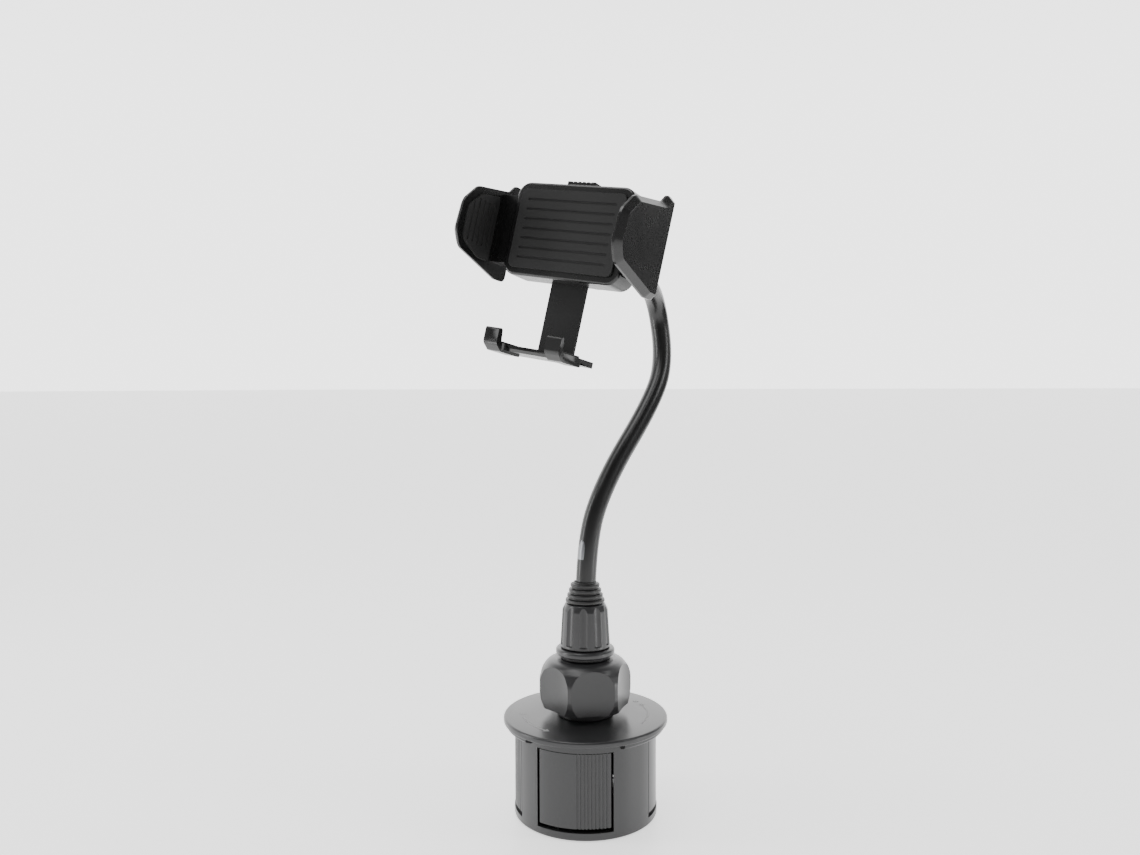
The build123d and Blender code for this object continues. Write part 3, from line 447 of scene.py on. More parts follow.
def natural_acetal():
    """Moulded natural acetal: milky white, waxy and slightly see-through at its edges."""
    return kept("Moulded_natural_acetal", lambda name: moulded(
        name, srgb("#d9d7cf")[:3], srgb("#e6e4dd")[:3], 0.36, 0.8, 0.006, ior=1.48,
    ))


def mark_paint(finish):
    """Pad-printed marks: thin matt grey ink that sits on the satin plastic."""
    return kept("Pad_printed_ink", lambda name: moulded(
        name, finish.mark_colour, [v * 1.1 for v in finish.mark_colour], 0.55, 0.3, 0.004,
    ))


def light_table(glow):
    """Backlit white acrylic sheet: pale, nearly even, with only a soft shadow."""
    material = moulded("Backlit_white_acrylic", srgb("#dcdcdc")[:3], srgb("#e0e0e0")[:3], 0.4, 3.0, 0.002)
    shader = material.node_tree.nodes["Principled BSDF"]
    shader.inputs["Emission Color"].default_value = (1, 1, 1, 1)
    shader.inputs["Emission Strength"].default_value = glow
    return material


# ---------------------------------------------------------------- settings
def length(name, description, default_mm):
    """A length setting, given in millimetres and kept in metres."""
    return bpy.props.FloatProperty(
        name=name, description=description, default=default_mm * MM, min=0.0, unit="LENGTH", precision=5,
    )


def colour(name, description, code):
    """A colour setting, given as an sRGB hex code."""
    return bpy.props.FloatVectorProperty(
        name=name, description=description, default=srgb(code)[:3], min=0.0, max=1.0, subtype="COLOR",
    )


def angle(name, description, default_degrees):
    """An angle setting, given in degrees and kept in radians."""
    return bpy.props.FloatProperty(
        name=name, description=description, default=math.radians(default_degrees), subtype="ANGLE",
    )


class BaseSettings(bpy.types.PropertyGroup):
    """Sizes of the cup-holder base, its knob and the nut on the neck's foot."""
    barrel_radius: length("Barrel radius", "Outside radius of the barrel that stands in the cup", 33.8)
    barrel_wall: length("Barrel wall", "Thickness of the barrel's wall", 2.6)
    window_width: length("Window width", "Width of each window that a wing slides through", 34.6)
    window_low: length("Window sill", "Height of the windows' lower edge", 4.1)
    window_high: length("Window head", "Height of the windows' upper edge", 40.0)
    window_yaw: angle("Window yaw", "Direction that the first window faces", -68.8)
    flange_radius: length("Flange radius", "Outside radius of the flange on top of the barrel", 38.78)
    flange_low: length("Flange underside", "Height of the flange's underside", 44.0)
    flange_thickness: length("Flange thickness", "Thickness of the flange", 2.8)
    flare_clear: angle("Flare gap", "Width of the stretch that has no rim", 74.0)
    flare_radius: length("Flare radius", "Outside radius of the rim under the flange", 37.4)
    rib_count: bpy.props.IntProperty(
        name="Ribs", description="Fine upright grooves on each wing", default=9, min=0, max=12,
    )
    rib_pitch: length("Rib pitch", "Distance from one groove to the next", 1.6)
    knob_radius: length("Knob radius", "Widest radius of the knob", 21.9)
    knob_facets: bpy.props.IntProperty(
        name="Knob facets", description="Hollow finger facets round the knob", default=6, min=3, max=12,
    )
    facet_yaw: angle("Facet yaw", "Direction that the first facet faces", -49.0)
    nut_flutes: bpy.props.IntProperty(
        name="Nut flutes", description="Upright flutes round the neck nut", default=10, min=4, max=24,
    )


class NeckSettings(bpy.types.PropertyGroup):
    """Sizes of the gooseneck."""
    neck_radius: length("Neck radius", "Outside radius of the sleeve", 4.85)
    bend_reach: length("Bend reach", "Length each side of a joint over which the sleeve bends", 8.0)


class CradleSettings(bpy.types.PropertyGroup):
    """Sizes and place of the cradle."""
    centre_x: length("Centre X", "Place of the pad's centre, across the base", 14.9)
    centre_y: bpy.props.FloatProperty(
        name="Centre Y", description="Place of the pad's centre, in front of the base",
        default=-41.7 * MM, unit="LENGTH", precision=5,
    )
    centre_z: length("Centre Z", "Height of the pad's centre", 265.8)
    tilt: angle("Tilt", "How far the cradle leans back", 8.26)
    roll: angle("Roll", "How far the cradle is turned on its ball", 9.2)
    half_width: length("Half width", "Half the width of the cradle's body", 29.5)
    low: length("Depth below", "Distance from the pad's centre to the body's lower edge", 19.0)
    high: length("Depth above", "Distance from the pad's centre to the body's upper edge", 22.0)
    corner: length("Corner radius", "Radius of the body's corners", 6.0)
    grip_half: length("Half grip", "Half the opening between the arm pads", 37.0)
    arm_wall: length("Arm wall", "Thickness of the grip walls", 3.6)
    arm_bevel: length("Arm bevel", "Width of the bevel round the outside of each grip wall", 2.4)


class FinishSettings(bpy.types.PropertyGroup):
    """Colours and gloss of the plastics."""
    base_dark: colour("Base, dark", "Darker tone of the grey plastic", "#232324")
    base_light: colour("Base, light", "Lighter tone of the grey plastic", "#2a2a2b")
    base_roughness: bpy.props.FloatProperty(
        name="Base roughness", description="Roughness of the grey plastic", default=0.3, min=0.0, max=1.0,
    )
    cradle_dark: colour("Cradle, dark", "Darker tone of the black plastic", "#0b0b0b")
    cradle_light: colour("Cradle, light", "Lighter tone of the black plastic", "#101010")
    cradle_roughness: bpy.props.FloatProperty(
        name="Cradle roughness", description="Roughness of the black plastic", default=0.27, min=0.0, max=1.0,
    )
    neck_dark: colour("Neck, dark", "Darker tone of the neck's sleeve", "#090909")
    neck_light: colour("Neck, light", "Lighter tone of the neck's sleeve", "#0e0e0e")
    mark_colour: colour("Marks", "Colour of the marks on the flange", "#8a8a8a")


class StageSettings(bpy.types.PropertyGroup):
    """Camera and light."""
    camera_place: bpy.props.FloatVectorProperty(
        name="Camera place", description="Where the camera stands", default=(0.2252, -0.385, 0.202),
        subtype="TRANSLATION", unit="LENGTH",
    )
    camera_turn: bpy.props.FloatVectorProperty(
        name="Camera turn", description="The camera's rotation", subtype="EULER", unit="ROTATION",
        default=(math.radians(87.526), math.radians(0.19), math.radians(31.2)),
    )
    camera_lens: bpy.props.FloatProperty(
        name="Lens", description="Focal length on a 36 mm sensor", default=30.0, unit="CAMERA",
    )
    table_glow: bpy.props.FloatProperty(
        name="Table glow", description="Light given off by the table", default=1.2, min=0.0,
    )
    room_strength: bpy.props.FloatProperty(
        name="Room light", description="Strength of the white room around the object", default=3.2, min=0.0,
    )


# ---------------------------------------------------------------- shared shapes, in millimetres and degrees
WINDOW_STEPS = (0.0, 98.4, 180.0, 278.4)   # turns from the first window to each of the four
WALL_LOW = 0.4            # underside of the barrel's wall
WALL_HIGH = 43.2          # top of the wall where it has no rim
POST_LOW = 3.6            # feet of the posts for the deck's screws
POST_HIGH = 27.0
POST_RING = 26.8          # radius of the circle that the posts stand on
PANEL_BACK = 28.0         # flat back of each wing's panel
TONGUE_HALF = 6.0
HIGH_TONGUE = (29.9, 32.9)
PIN_RING = 12.0           # radius at which the wings' pins stand
FACET_HOLLOW = 60.0       # radius of the knob's hollow facets
FACET_DEPTH = 3.4
PAD_THICK = 1.6           # rubber pads on the arms
TOE_MIDDLE = 15.5         # middle of each foot, from the cradle's middle line
TOE_HALF = 3.5
BALL_CENTRE = -30.0       # along the cradle's axis, from the front pad's centre
BALL_RADIUS = 8.5
INK_LOW, INK_HIGH = -0.02, 0.04   # the marks' ink, from the flange's top


def cradle_matrix(cradle):
    """Frame of the cradle: X across, Y up its pad, Z out of its pad."""
    facing = Vector((0, -math.cos(cradle.tilt), math.sin(cradle.tilt)))
    across = Vector((
        math.cos(cradle.roll), -math.sin(cradle.roll) * math.sin(cradle.tilt),
        -math.sin(cradle.roll) * math.cos(cradle.tilt),
    ))
    up = facing.cross(across)
    turn = Matrix((across, up, facing)).transposed().to_4x4()
    return Matrix.Translation((cradle.centre_x, cradle.centre_y, cradle.centre_z)) @ turn


def window_angles(base):
    """Directions that the four windows face, in degrees."""
    return [math.degrees(base.window_yaw) + step for step in WINDOW_STEPS]


def side_slab(name, outline, near, far):
    """Extrude a side view, drawn as forward and up, from one place across the cradle to another."""
    piece = chain(name, [(near, up, forward) for forward, up in outline + outline[:1]])
    bpy.ops.mesh.remove_doubles(threshold=2e-6)
    bpy.ops.mesh.edge_face_add()
    bpy.ops.mesh.extrude_region_move(TRANSFORM_OT_translate={"value": ((far - near) * MM, 0, 0)})
    return tidy(piece)


def slot_outline(centre, half_length, half_width, upright=False):
    """Outline of a round-ended slot."""
    reach = half_length - half_width
    right = arc((reach, 0), half_width, -90, 90)
    left = arc((-reach, 0), half_width, 90, 270)
    points = right + left
    if upright:
        points = [(-y, x) for x, y in points]
    return [(x + centre[0], y + centre[1]) for x, y in points]


def body_outline(cradle, inset):
    """The cradle body's rounded outline, drawn this far inside its edge."""
    half = in_mm(cradle.half_width) - inset
    low = -in_mm(cradle.low) + inset
    high = in_mm(cradle.high) - inset
    radius = max(in_mm(cradle.corner) - inset, 1.0)
    return rounded([(-half, low), (half, low), (half, high), (-half, high)], [radius] * 4, steps=8)


# ---------------------------------------------------------------- base
class PHONEMOUNT_OT_base(bpy.types.Operator):
    """Barrel with four windows, its sliding wings, and the flange with its marks"""
    bl_idname = "phone_mount.base"
    bl_label = "Base"

    def execute(self, context):
        base = context.scene.mount_base
        grey = grey_abs(context.scene.mount_finish)
        self.barrel(base, grey)
        for number, yaw in enumerate(window_angles(base)):
            self.wing(base, grey, number, yaw)
        self.flange(base, grey)
        self.marks(base, mark_paint(context.scene.mount_finish))
        return {"FINISHED"}

    def barrel(self, base, finish):
        """Ring-shaped wall with a flared rim, which is left out over the first and third windows."""
        outer = in_mm(base.barrel_radius)
        bore = outer - in_mm(base.barrel_wall)
        flare = in_mm(base.flare_radius)
        top = in_mm(base.flange_low)
        barrel = lathe("barrel", rounded(
            [(bore, WALL_LOW), (outer, WALL_LOW), (outer, WALL_HIGH), (bore, WALL_HIGH)], [0, 1.1, 0, 0],
        ), steps=144)
        ring = lathe("flare", [
            (bore + 0.3, 40.9), (outer + 0.4, 40.9), (flare - 0.3, 42.0), (flare, 42.4), (flare, top),
            (bore + 0.3, top),
        ], steps=144)
        yaws = window_angles(base)
        for yaw in yaws[::2]:
            combined(ring, self.wedge(yaw, math.degrees(base.flare_clear), 38.0, 50.0))
        combined(barrel, ring, "UNION")
        half = in_mm(base.window_width) / 2
        for yaw in yaws:
            window = block(
                "window",
                (outer - 8, -half, in_mm(base.window_low)), (outer + 8, half, in_mm(base.window_high)),
            )
            combined(barrel, turned(window, yaw))
        softened(barrel, 0.25, segments=2)
        settled(barrel, "base", "grey_plastic", finish, "base_barrel")
        posts = []
        for here, there in zip(yaws, yaws[1:] + [yaws[0] + 360]):
            post = drum("post", 3.2, POST_LOW, POST_HIGH, place=(POST_RING, 0.0), sides=48)
            combined(post, block("web", (28.0, -1.5, POST_LOW), (bore + 0.5, 1.5, POST_HIGH)), "UNION")
            posts.append(turned(post, (here + there) / 2))
        settled(joined("screw_posts", posts), "base", "grey_plastic", finish)

    def wedge(self, yaw, width, low, high):
        """A kite from the axis outwards, centred on a direction."""
        reach = 60.0
        left, right = yaw - width / 2, yaw + width / 2
        outline = [(0, 0), polar(reach, left), polar(1.4 * reach, yaw), polar(reach, right)]
        return slab("wedge", outline, low, high)

    def wing(self, base, finish, number, yaw):
        """Curved panel with upright ribs in one half, on two tongues that run inwards."""
        face = in_mm(base.barrel_radius) - 0.3
        half = in_mm(base.window_width) / 2 - 1.1
        low = in_mm(base.window_low) + 1.8
        high = in_mm(base.window_high) - 0.4
        back = PANEL_BACK
        lap = back + 0.01
        wing = drum("panel", face, low, high, sides=192)
        combined(wing, block("keep", (back, -half, low - 1), (face + 1, half, high + 1)), "INTERSECT")
        grooves = []
        for i in range(base.rib_count):
            across = half - 1.6 - i * in_mm(base.rib_pitch)
            depth = math.sqrt(face ** 2 - across ** 2)
            width = in_mm(base.rib_pitch) / 4
            grooves.append(block(
                "groove", (depth - 0.4, across - width, low - 1), (depth + 2, across + width, high + 1),
            ))
        if grooves:
            combined(wing, joined("cutter", grooves))
        softened(wing, 0.22, segments=2)
        tongues = [
            block("low_tongue", (14.0, -TONGUE_HALF, low + 0.4), (lap, TONGUE_HALF, low + 3.4)),
            block("high_tongue", (15.0, -TONGUE_HALF, HIGH_TONGUE[0]), (lap, TONGUE_HALF, HIGH_TONGUE[1])),
            block("nose", (PIN_RING, -2.0, HIGH_TONGUE[0]), (15.01, 2.0, HIGH_TONGUE[1])),
            drum("pin", 1.5, HIGH_TONGUE[1], 37.8, place=(PIN_RING, 0.0), sides=24),
            block("left_lip", (24.4, -half, low), (lap, -half + 1.4, high)),
            block("right_lip", (24.4, half - 1.4, low), (lap, half, high)),
        ]
        wing = joined(f"wing_panel_{number + 1}", [wing] + tongues)
        settled(turned(wing, yaw), "wing_" + "abcd"[number], "grey_plastic", finish, f"wing_{number + 1}")

    def flange(self, base, finish):
        """Disc with a rounded rim, which overhangs the barrel, and a spigot that drops into it."""
        low = in_mm(base.flange_low)
        high = low + in_mm(base.flange_thickness)
        bore = in_mm(base.barrel_radius) - in_mm(base.barrel_wall)
        rim = in_mm(base.flange_radius)
        profile = rounded(
            [
                (12.3, low), (bore - 2.2, low), (bore - 2.2, low - 2.4), (bore, low - 2.4), (bore, low),
                (rim, low), (rim, high), (12.3, high),
            ],
            [0, 0, 0, 0, 0, 0.6, 1.0, 0.4],
        )
        flange = lathe("flange", profile, steps=192)
        smoothed(flange, 35)
        settled(flange, "base", "grey_plastic", finish, "top_flange")

    def marks(self, base, finish):
        """Two plain turning arrows, with a minus and a plus, printed on the flange."""
        top = in_mm(base.flange_low) + in_mm(base.flange_thickness)
        low, high = top + INK_LOW, top + INK_HIGH
        pieces = []
        for start, end in ((-138.0, -98.0), (2.0, 52.0)):
            band = arc((0, 0), 29.9, start, end, 24) + arc((0, 0), 29.1, end, start, 24)
            pieces.append(slab("band", band, low, high))
            head = [polar(31.2, end), polar(29.5, end + 5), polar(27.8, end)]
            pieces.append(slab("head", head, low, high))
        minus, plus = [block(name, (28.3, -0.4, low), (30.9, 0.4, high)) for name in ("minus", "plus")]
        stroke = block("stroke", (29.2, -1.3, low), (30.0, 1.3, high))
        combined(plus, stroke, "UNION")
        pieces.append(turned(minus, -146.0))
        pieces.append(turned(plus, 64.0))
        settled(joined("turning_marks", pieces), "base", "grey_plastic", finish)


# ---------------------------------------------------------------- knob, nut and strain relief
class PHONEMOUNT_OT_knob(bpy.types.Operator):
    """Faceted knob that opens the wings, and the collar above it"""
    bl_idname = "phone_mount.knob"
    bl_label = "Knob and collar"

    def execute(self, context):
        base = context.scene.mount_base
        grey = grey_abs(context.scene.mount_finish)
        wide = in_mm(base.knob_radius)
        profile = rounded(
            [
                (5.6, 37.8), (12.0, 37.8), (12.0, 47.1), (13.2, 47.1), (13.2, 51.2), (14.4, 51.2), (14.4, 64.0),
                (16.6, 64.0), (16.6, 51.2), (wide - 1.7, 51.2), (wide - 0.5, 54.6), (wide, 58.2), (wide, 65.0),
                (wide - 1.5, 69.6), (wide - 4.2, 72.8), (wide - 7.4, 73.8), (5.6, 73.8),
            ],
            [0, 0, 0, 0.2, 0, 0, 0.5, 0.5, 0.3, 0, 6.0, 10.0, 10.0, 6.0, 5.0, 2.0, 0],
        )
        knob = lathe("knob", profile, steps=192)
        for i in range(base.knob_facets):
            away = wide + FACET_HOLLOW - FACET_DEPTH
            cutter = drum("facet", FACET_HOLLOW, 50.0, 80.0, place=(away, 0.0), sides=288)
            combined(knob, turned(cutter, math.degrees(base.facet_yaw) + 360.0 / base.knob_facets * i))
        softened(knob, 0.55, segments=3, angle=14)
        settled(knob, "knob", "grey_plastic", grey, "adjust_knob")

        collar = lathe("collar", rounded(
            [(5.5, 74.1), (11.8, 74.1), (11.8, 75.6), (13.9, 75.6), (13.9, 78.9), (5.5, 78.9)],
            [0, 0.2, 0.3, 1.3, 1.3, 0],
        ), steps=128)
        smoothed(collar, 35)
        settled(collar, "base", "grey_plastic", grey, "collar_ring")
        return {"FINISHED"}


class PHONEMOUNT_OT_nut(bpy.types.Operator):
    """Fluted nut that grips the neck's foot, and the ribbed strain relief above it"""
    bl_idname = "phone_mount.nut"
    bl_label = "Neck nut and strain relief"

    def execute(self, context):
        base = context.scene.mount_base
        finish = context.scene.mount_finish
        nut = lathe("nut", rounded(
            [
                (5.8, 79.2), (11.8, 79.2), (10.7, 97.0), (9.4, 99.8), (7.3, 99.8), (7.3, 88.0), (5.8, 88.0),
            ],
            [0, 0.5, 2.2, 0.7, 0.3, 0, 0],
        ), steps=160)
        flutes = []
        for i in range(base.nut_flutes):
            flute = drum("flute", 3.0, 0.0, 26.0, sides=48)
            lean = Matrix.Translation(mm(13.9, 0, 80.9)) @ Matrix.Rotation(math.radians(-3.5), 4, "Y")
            placed(flute, lean)
            flutes.append(turned(flute, 8.0 + 360.0 / base.nut_flutes * i))
        combined(nut, joined("cutter", flutes))
        softened(nut, 0.4, segments=3, angle=20)
        settled(nut, "nut", "grey_plastic", grey_abs(finish), "neck_nut")

        neck = in_mm(context.scene.mount_neck.neck_radius)
        low, high, rings = 100.4, 110.0, 4
        pitch = (high - low) / rings
        outline = [(neck, 95.5), (7.0, 95.5), (7.0, low)]
        radii = [0, 0, 0]
        for i in range(rings):
            radius = 9.3 - 0.8 * i
            foot = low + i * pitch
            outline += [
                (radius, foot), (radius, foot + 0.62 * pitch),
                (radius - 1.5, foot + 0.74 * pitch), (radius - 1.5, foot + pitch),
            ]
            radii += [0.55, 0.55, 0.15, 0.15]
        outline += [(neck, high)]
        radii += [0]
        relief = lathe("strain_relief_skin", rounded(outline, radii, steps=4), steps=96)
        smoothed(relief, 40)
        settled(relief, "base", "relief_rubber", relief_rubber(), "strain_relief")
        return {"FINISHED"}


# ---------------------------------------------------------------- gooseneck
class PHONEMOUNT_OT_gooseneck(bpy.types.Operator):
    """Bendable neck from the nut to the ball joint, cut into four lengths that each reach over one joint's place
    """
    bl_idname = "phone_mount.gooseneck"
    bl_label = "Gooseneck"

    route = (
        (0.0, 0.0, 88.5), (0.0, 0.0, 126.5), (3.2, 12.5, 155.5), (12.2, 47.5, 194.9), (11.6, 61.8, 215.1),
        (5.5, 66.1, 245.2), (14.9, 33.51, 254.88), (14.9, 11.74, 258.04),
    )
    joints = ("bend_1", "bend_2", "bend_3", "bend_4")
    bodies = ("base", "neck_low", "neck_middle", "neck_high", "neck_end")
    sleeves = (("neck_sleeve_1",), ("neck_sleeve_2",), ("neck_sleeve_3",), ("neck_sleeve_4", "neck_sleeve_5"))

    def execute(self, context):
        neck = context.scene.mount_neck
        finish = neck_vinyl(context.scene.mount_finish)
        line = self.line()
        points = self.points_along(line)
        places = [self.joint_place(name) for name in self.joints]
        stations = [self.nearest(points, place) for place in places]
        cuts = [(a + b) // 2 for a, b in zip(stations, stations[1:])]
        line.data.bevel_depth = neck.neck_radius
        line.data.bevel_resolution = 7
        line.data.use_fill_caps = True
        pick(line)
        bpy.ops.object.convert(target="MESH")
        tidy(line)
        for i, station in enumerate(stations):
            length_piece = copied(line, f"neck_length_{i + 1}")
            if i > 0:
                self.cut(length_piece, points, cuts[i - 1], keep_above=True)
            if i < len(cuts):
                self.cut(length_piece, points, cuts[i], keep_above=False)
            smoothed(length_piece, 50)
            painted(length_piece, finish)
            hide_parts(*self.sleeves[i])
            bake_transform(length_piece)
        bpy.data.objects.remove(line)
        return {"FINISHED"}

    def line(self):
        """The neck's centre line as one smooth spline."""
        curve = bpy.data.curves.new("neck_line", "CURVE")
        curve.dimensions = "3D"
        spline = curve.splines.new("NURBS")
        spline.points.add(len(self.route) - 1)
        for point, place in zip(spline.points, self.route):
            point.co = (*mm(*place), 1.0)
        spline.use_endpoint_u = True
        spline.order_u = 3
        spline.resolution_u = 24
        line = bpy.data.objects.new("neck_line", curve)
        bpy.context.collection.objects.link(line)
        return line

    def points_along(self, line):
        """Points of the centre line, from its foot to its head."""
        mesh = bpy.data.meshes.new_from_object(line)
        points = [vertex.co.copy() for vertex in mesh.vertices]
        bpy.data.meshes.remove(mesh)
        return points

    def joint_place(self, name):
        """Where a joint of the frame stands."""
        for joint in frame["joints"]:
            if joint["name"] == name:
                return Vector(joint["pos_m"])
        raise RuntimeError(f"the frame has no joint named {name}")

    def nearest(self, points, place):
        """Number of the centre line's point that is nearest to a place."""
        return min(range(len(points)), key=lambda i: (points[i] - place).length)

    def cut(self, piece, points, station, keep_above):
        """Cut the sleeve square to its line at one point, and close the cut."""
        along = (points[station + 1] - points[station - 1]).normalized()
        pick(piece)
        bpy.ops.object.mode_set(mode="EDIT")
        bpy.ops.mesh.select_all(action="SELECT")
        bpy.ops.mesh.bisect(
            plane_co=points[station], plane_no=along, use_fill=True,
            clear_inner=keep_above, clear_outer=not keep_above,
        )
        bpy.ops.object.mode_set(mode="OBJECT")


# ---------------------------------------------------------------- cradle
class PHONEMOUNT_OT_covers(bpy.types.Operator):
    """Two-part body of the cradle, its grooved pad and the release button"""
    bl_idname = "phone_mount.covers"
    bl_label = "Cradle body"

    def execute(self, context):
        cradle = context.scene.mount_cradle
        finish = context.scene.mount_finish
        black = black_abs(finish)
        place = cradle_matrix(cradle)
        for name, outer, inner, slot_name in (
            ("back_shell", (-15.0, -7.0), (-13.2, -6.9), "back_cover"),
            ("front_shell", (-7.0, -1.0), (-7.1, -2.6), "front_cover"),
        ):
            shell = slab(name, body_outline(cradle, 0), *outer)
            self.round_face(shell, outer[0] if name == "back_shell" else outer[1])
            combined(shell, slab("hollow", body_outline(cradle, 1.6), *inner))
            for opening in self.openings(cradle):
                combined(shell, opening)
            if name == "back_shell":
                holes = [
                    drum("hole", 1.5, -15.1, -13.8, place=spot, sides=32)
                    for spot in self.screw_places(cradle)
                ]
                combined(shell, joined("cutter", holes))
            softened(shell, 0.22, segments=2)
            settled(placed(shell, place), "cradle", "black_plastic", black, slot_name)

        pad = slab("grooved_pad", body_outline(cradle, 3.2), -1.0, 0.0)
        middle = (in_mm(cradle.high) - in_mm(cradle.low)) / 2
        reach = in_mm(cradle.half_width) - 3.2 - 4.0
        grooves = [
            slab("groove", slot_outline((0, middle + 4.2 * i), reach, 0.5), -0.5, 0.5) for i in range(-3, 4)
        ]
        combined(pad, joined("cutter", grooves))
        softened(pad, 0.18, segments=2)
        settled(placed(pad, place), "cradle", "pad_rubber", pad_rubber(), "front_pad")

        button = block("button_cap", (-7.0, 18.9, -9.5), (7.0, 24.2, -4.5))
        ridges = [block("ridge", (2.2 * i - 0.4, 23.8, -10), (2.2 * i + 0.4, 25, -4)) for i in range(-2, 3)]
        combined(button, joined("cutter", ridges))
        combined(button, block("shoulder", (-7.0, 18.9, -9.5), (12.0, 20.1, -4.5)), "UNION")
        combined(button, block("plunger", (4.4, 16.9, -9.5), (7.4, 19.0, -4.5)), "UNION")
        softened(button, 0.45, segments=3)
        settled(placed(button, place), "button", "black_plastic", black, "release_button")
        return {"FINISHED"}

    def round_face(self, shell, depth):
        """Round the edge of the face at this depth."""
        edit_rim(shell, 2, depth)
        bpy.ops.mesh.bevel(offset=1.2 * MM, segments=5, profile=0.5, affect="EDGES")
        tidy(shell)

    def screw_places(self, cradle):
        """Places of the four screws that hold the covers together."""
        across, high, low = in_mm(cradle.half_width) - 3.5, 18.6, -15.9
        return [(across, high), (-across, high), (across, low), (-across, low)]

    def openings(self, cradle):
        """Mouths at the sides for the arms, at the top for the button and at the bottom for the foot."""
        half, low, high = in_mm(cradle.half_width), in_mm(cradle.low), in_mm(cradle.high)
        return [
            block("right_mouth", (half - 3, -14.3, -11.2), (half + 1, 16.5, -2.7)),
            block("left_mouth", (-half - 1, -14.3, -11.2), (-half + 3, 16.5, -2.7)),
            block("top_mouth", (-7.3, high - 3, -9.8), (7.3, high + 1, -4.2)),
            block("bottom_mouth", (-9.3, -low - 1, -13.2), (9.3, -low + 3, -11.0)),
        ]


class PHONEMOUNT_OT_arms(bpy.types.Operator):
    """Two spring-loaded arms with bevelled grip walls, racks and ribbed rubber pads"""
    bl_idname = "phone_mount.arms"
    bl_label = "Arms"

    def execute(self, context):
        cradle = context.scene.mount_cradle
        finish = context.scene.mount_finish
        place = cradle_matrix(cradle)
        half_pad = PAD_THICK / 2
        inner = in_mm(cradle.grip_half) + half_pad
        for side, word in ((1, "right"), (-1, "left")):
            arm = self.wall(cradle, side, inner)
            self.add_plate(arm, side, inner)
            softened(arm, 0.3, segments=2, angle=32)
            arm.name = f"{word}_grip"
            settled(placed(arm, place), f"arm_{word}", "black_plastic", black_abs(finish), f"{word}_arm")
            pad = side_slab(
                f"{word}_grip_pad", self.pad_outline(), side * (inner + half_pad), side * (inner - half_pad),
            )
            slots = [
                side_slab(
                    "slot", slot_outline((3.4 + 3.4 * i, 0), 9.5, 0.5, upright=True),
                    side * (inner - 1.5), side * (inner - 0.3),
                ) for i in range(5)
            ]
            combined(pad, joined("cutter", slots))
            softened(pad, 0.2, segments=2)
            settled(placed(pad, place), f"arm_{word}", "pad_rubber", pad_rubber(), f"{word}_arm_pad")
        return {"FINISHED"}

    def pad_outline(self):
        """Side view of the rubber pad: forward, up."""
        return rounded(
            [(0, -15.0), (8.0, -15.0), (20.0, -9.6), (20.4, 4.6), (13.0, 11.4), (0, 14.0)],
            [1.5, 5.0, 5.0, 4.0, 4.0, 1.5],
        )

    def wall(self, cradle, side, inner):
        """Grip wall with a wide bevel round its outer face and a recess for its pad."""
        bevel = in_mm(cradle.arm_bevel)
        outer = inner + in_mm(cradle.arm_wall)
        outline = rounded(
            [
                (-15.5, -20.8), (-8.0, -21.0), (20.0, -13.6), (24.2, -7.0), (23.0, 6.5),
                (15.5, 14.2), (-6.5, 18.4), (-10.1, 22.2), (-15.5, 22.2),
            ],
            [2.6, 6.0, 5.0, 8.0, 6.0, 5.0, 4.0, 2.5, 2.6], steps=8,
        )
        wall = side_slab("grip_wall", outline, side * inner, side * outer)
        edit_rim(wall, 0, side * outer)
        bpy.ops.mesh.bevel(offset=bevel * MM, segments=1, affect="EDGES", clamp_overlap=True)
        tidy(wall)
        recess = side_slab("recess", self.pad_outline(), side * (inner - 1), side * (inner + PAD_THICK / 2))
        combined(wall, recess)
        return wall

    def add_plate(self, arm, side, inner):
        """Thick plate that slides into the cradle's body, hollowed from behind, with its toothed rack."""
        near, far = sorted((side * 28.0, side * (inner + 0.5)))
        plate = block("plate", (near, -14.0, -10.9), (far, 16.2, -3.0))
        near, far = sorted((side * 29.6, side * (inner - 1.6)))
        combined(plate, block("hollow", (near, -12.4, -11.9), (far, 14.6, -4.6)))
        combined(arm, plate, "UNION")
        combined(arm, self.rack(side), "UNION")

    def rack(self, side):
        """Bar with teeth along its inner edge."""
        pitch, root, tip = math.pi, 5.15, 3.3
        start, end = (-12.0, 29.0) if side > 0 else (-29.0, 12.0)
        outline = [(start, side * 12.0), (start, side * root)]
        tooth = math.ceil(start / pitch - 0.5)
        while (tooth + 0.5) * pitch + 1.1 < end:
            middle = (tooth + 0.5) * pitch
            if middle - 1.1 > start:
                outline += [
                    (middle - 1.1, side * root), (middle - 0.35, side * tip),
                    (middle + 0.35, side * tip), (middle + 1.1, side * root),
                ]
            tooth += 1
        outline += [(end, side * root), (end, side * 12.0)]
        return slab("rack", outline, -9.5, -4.5)


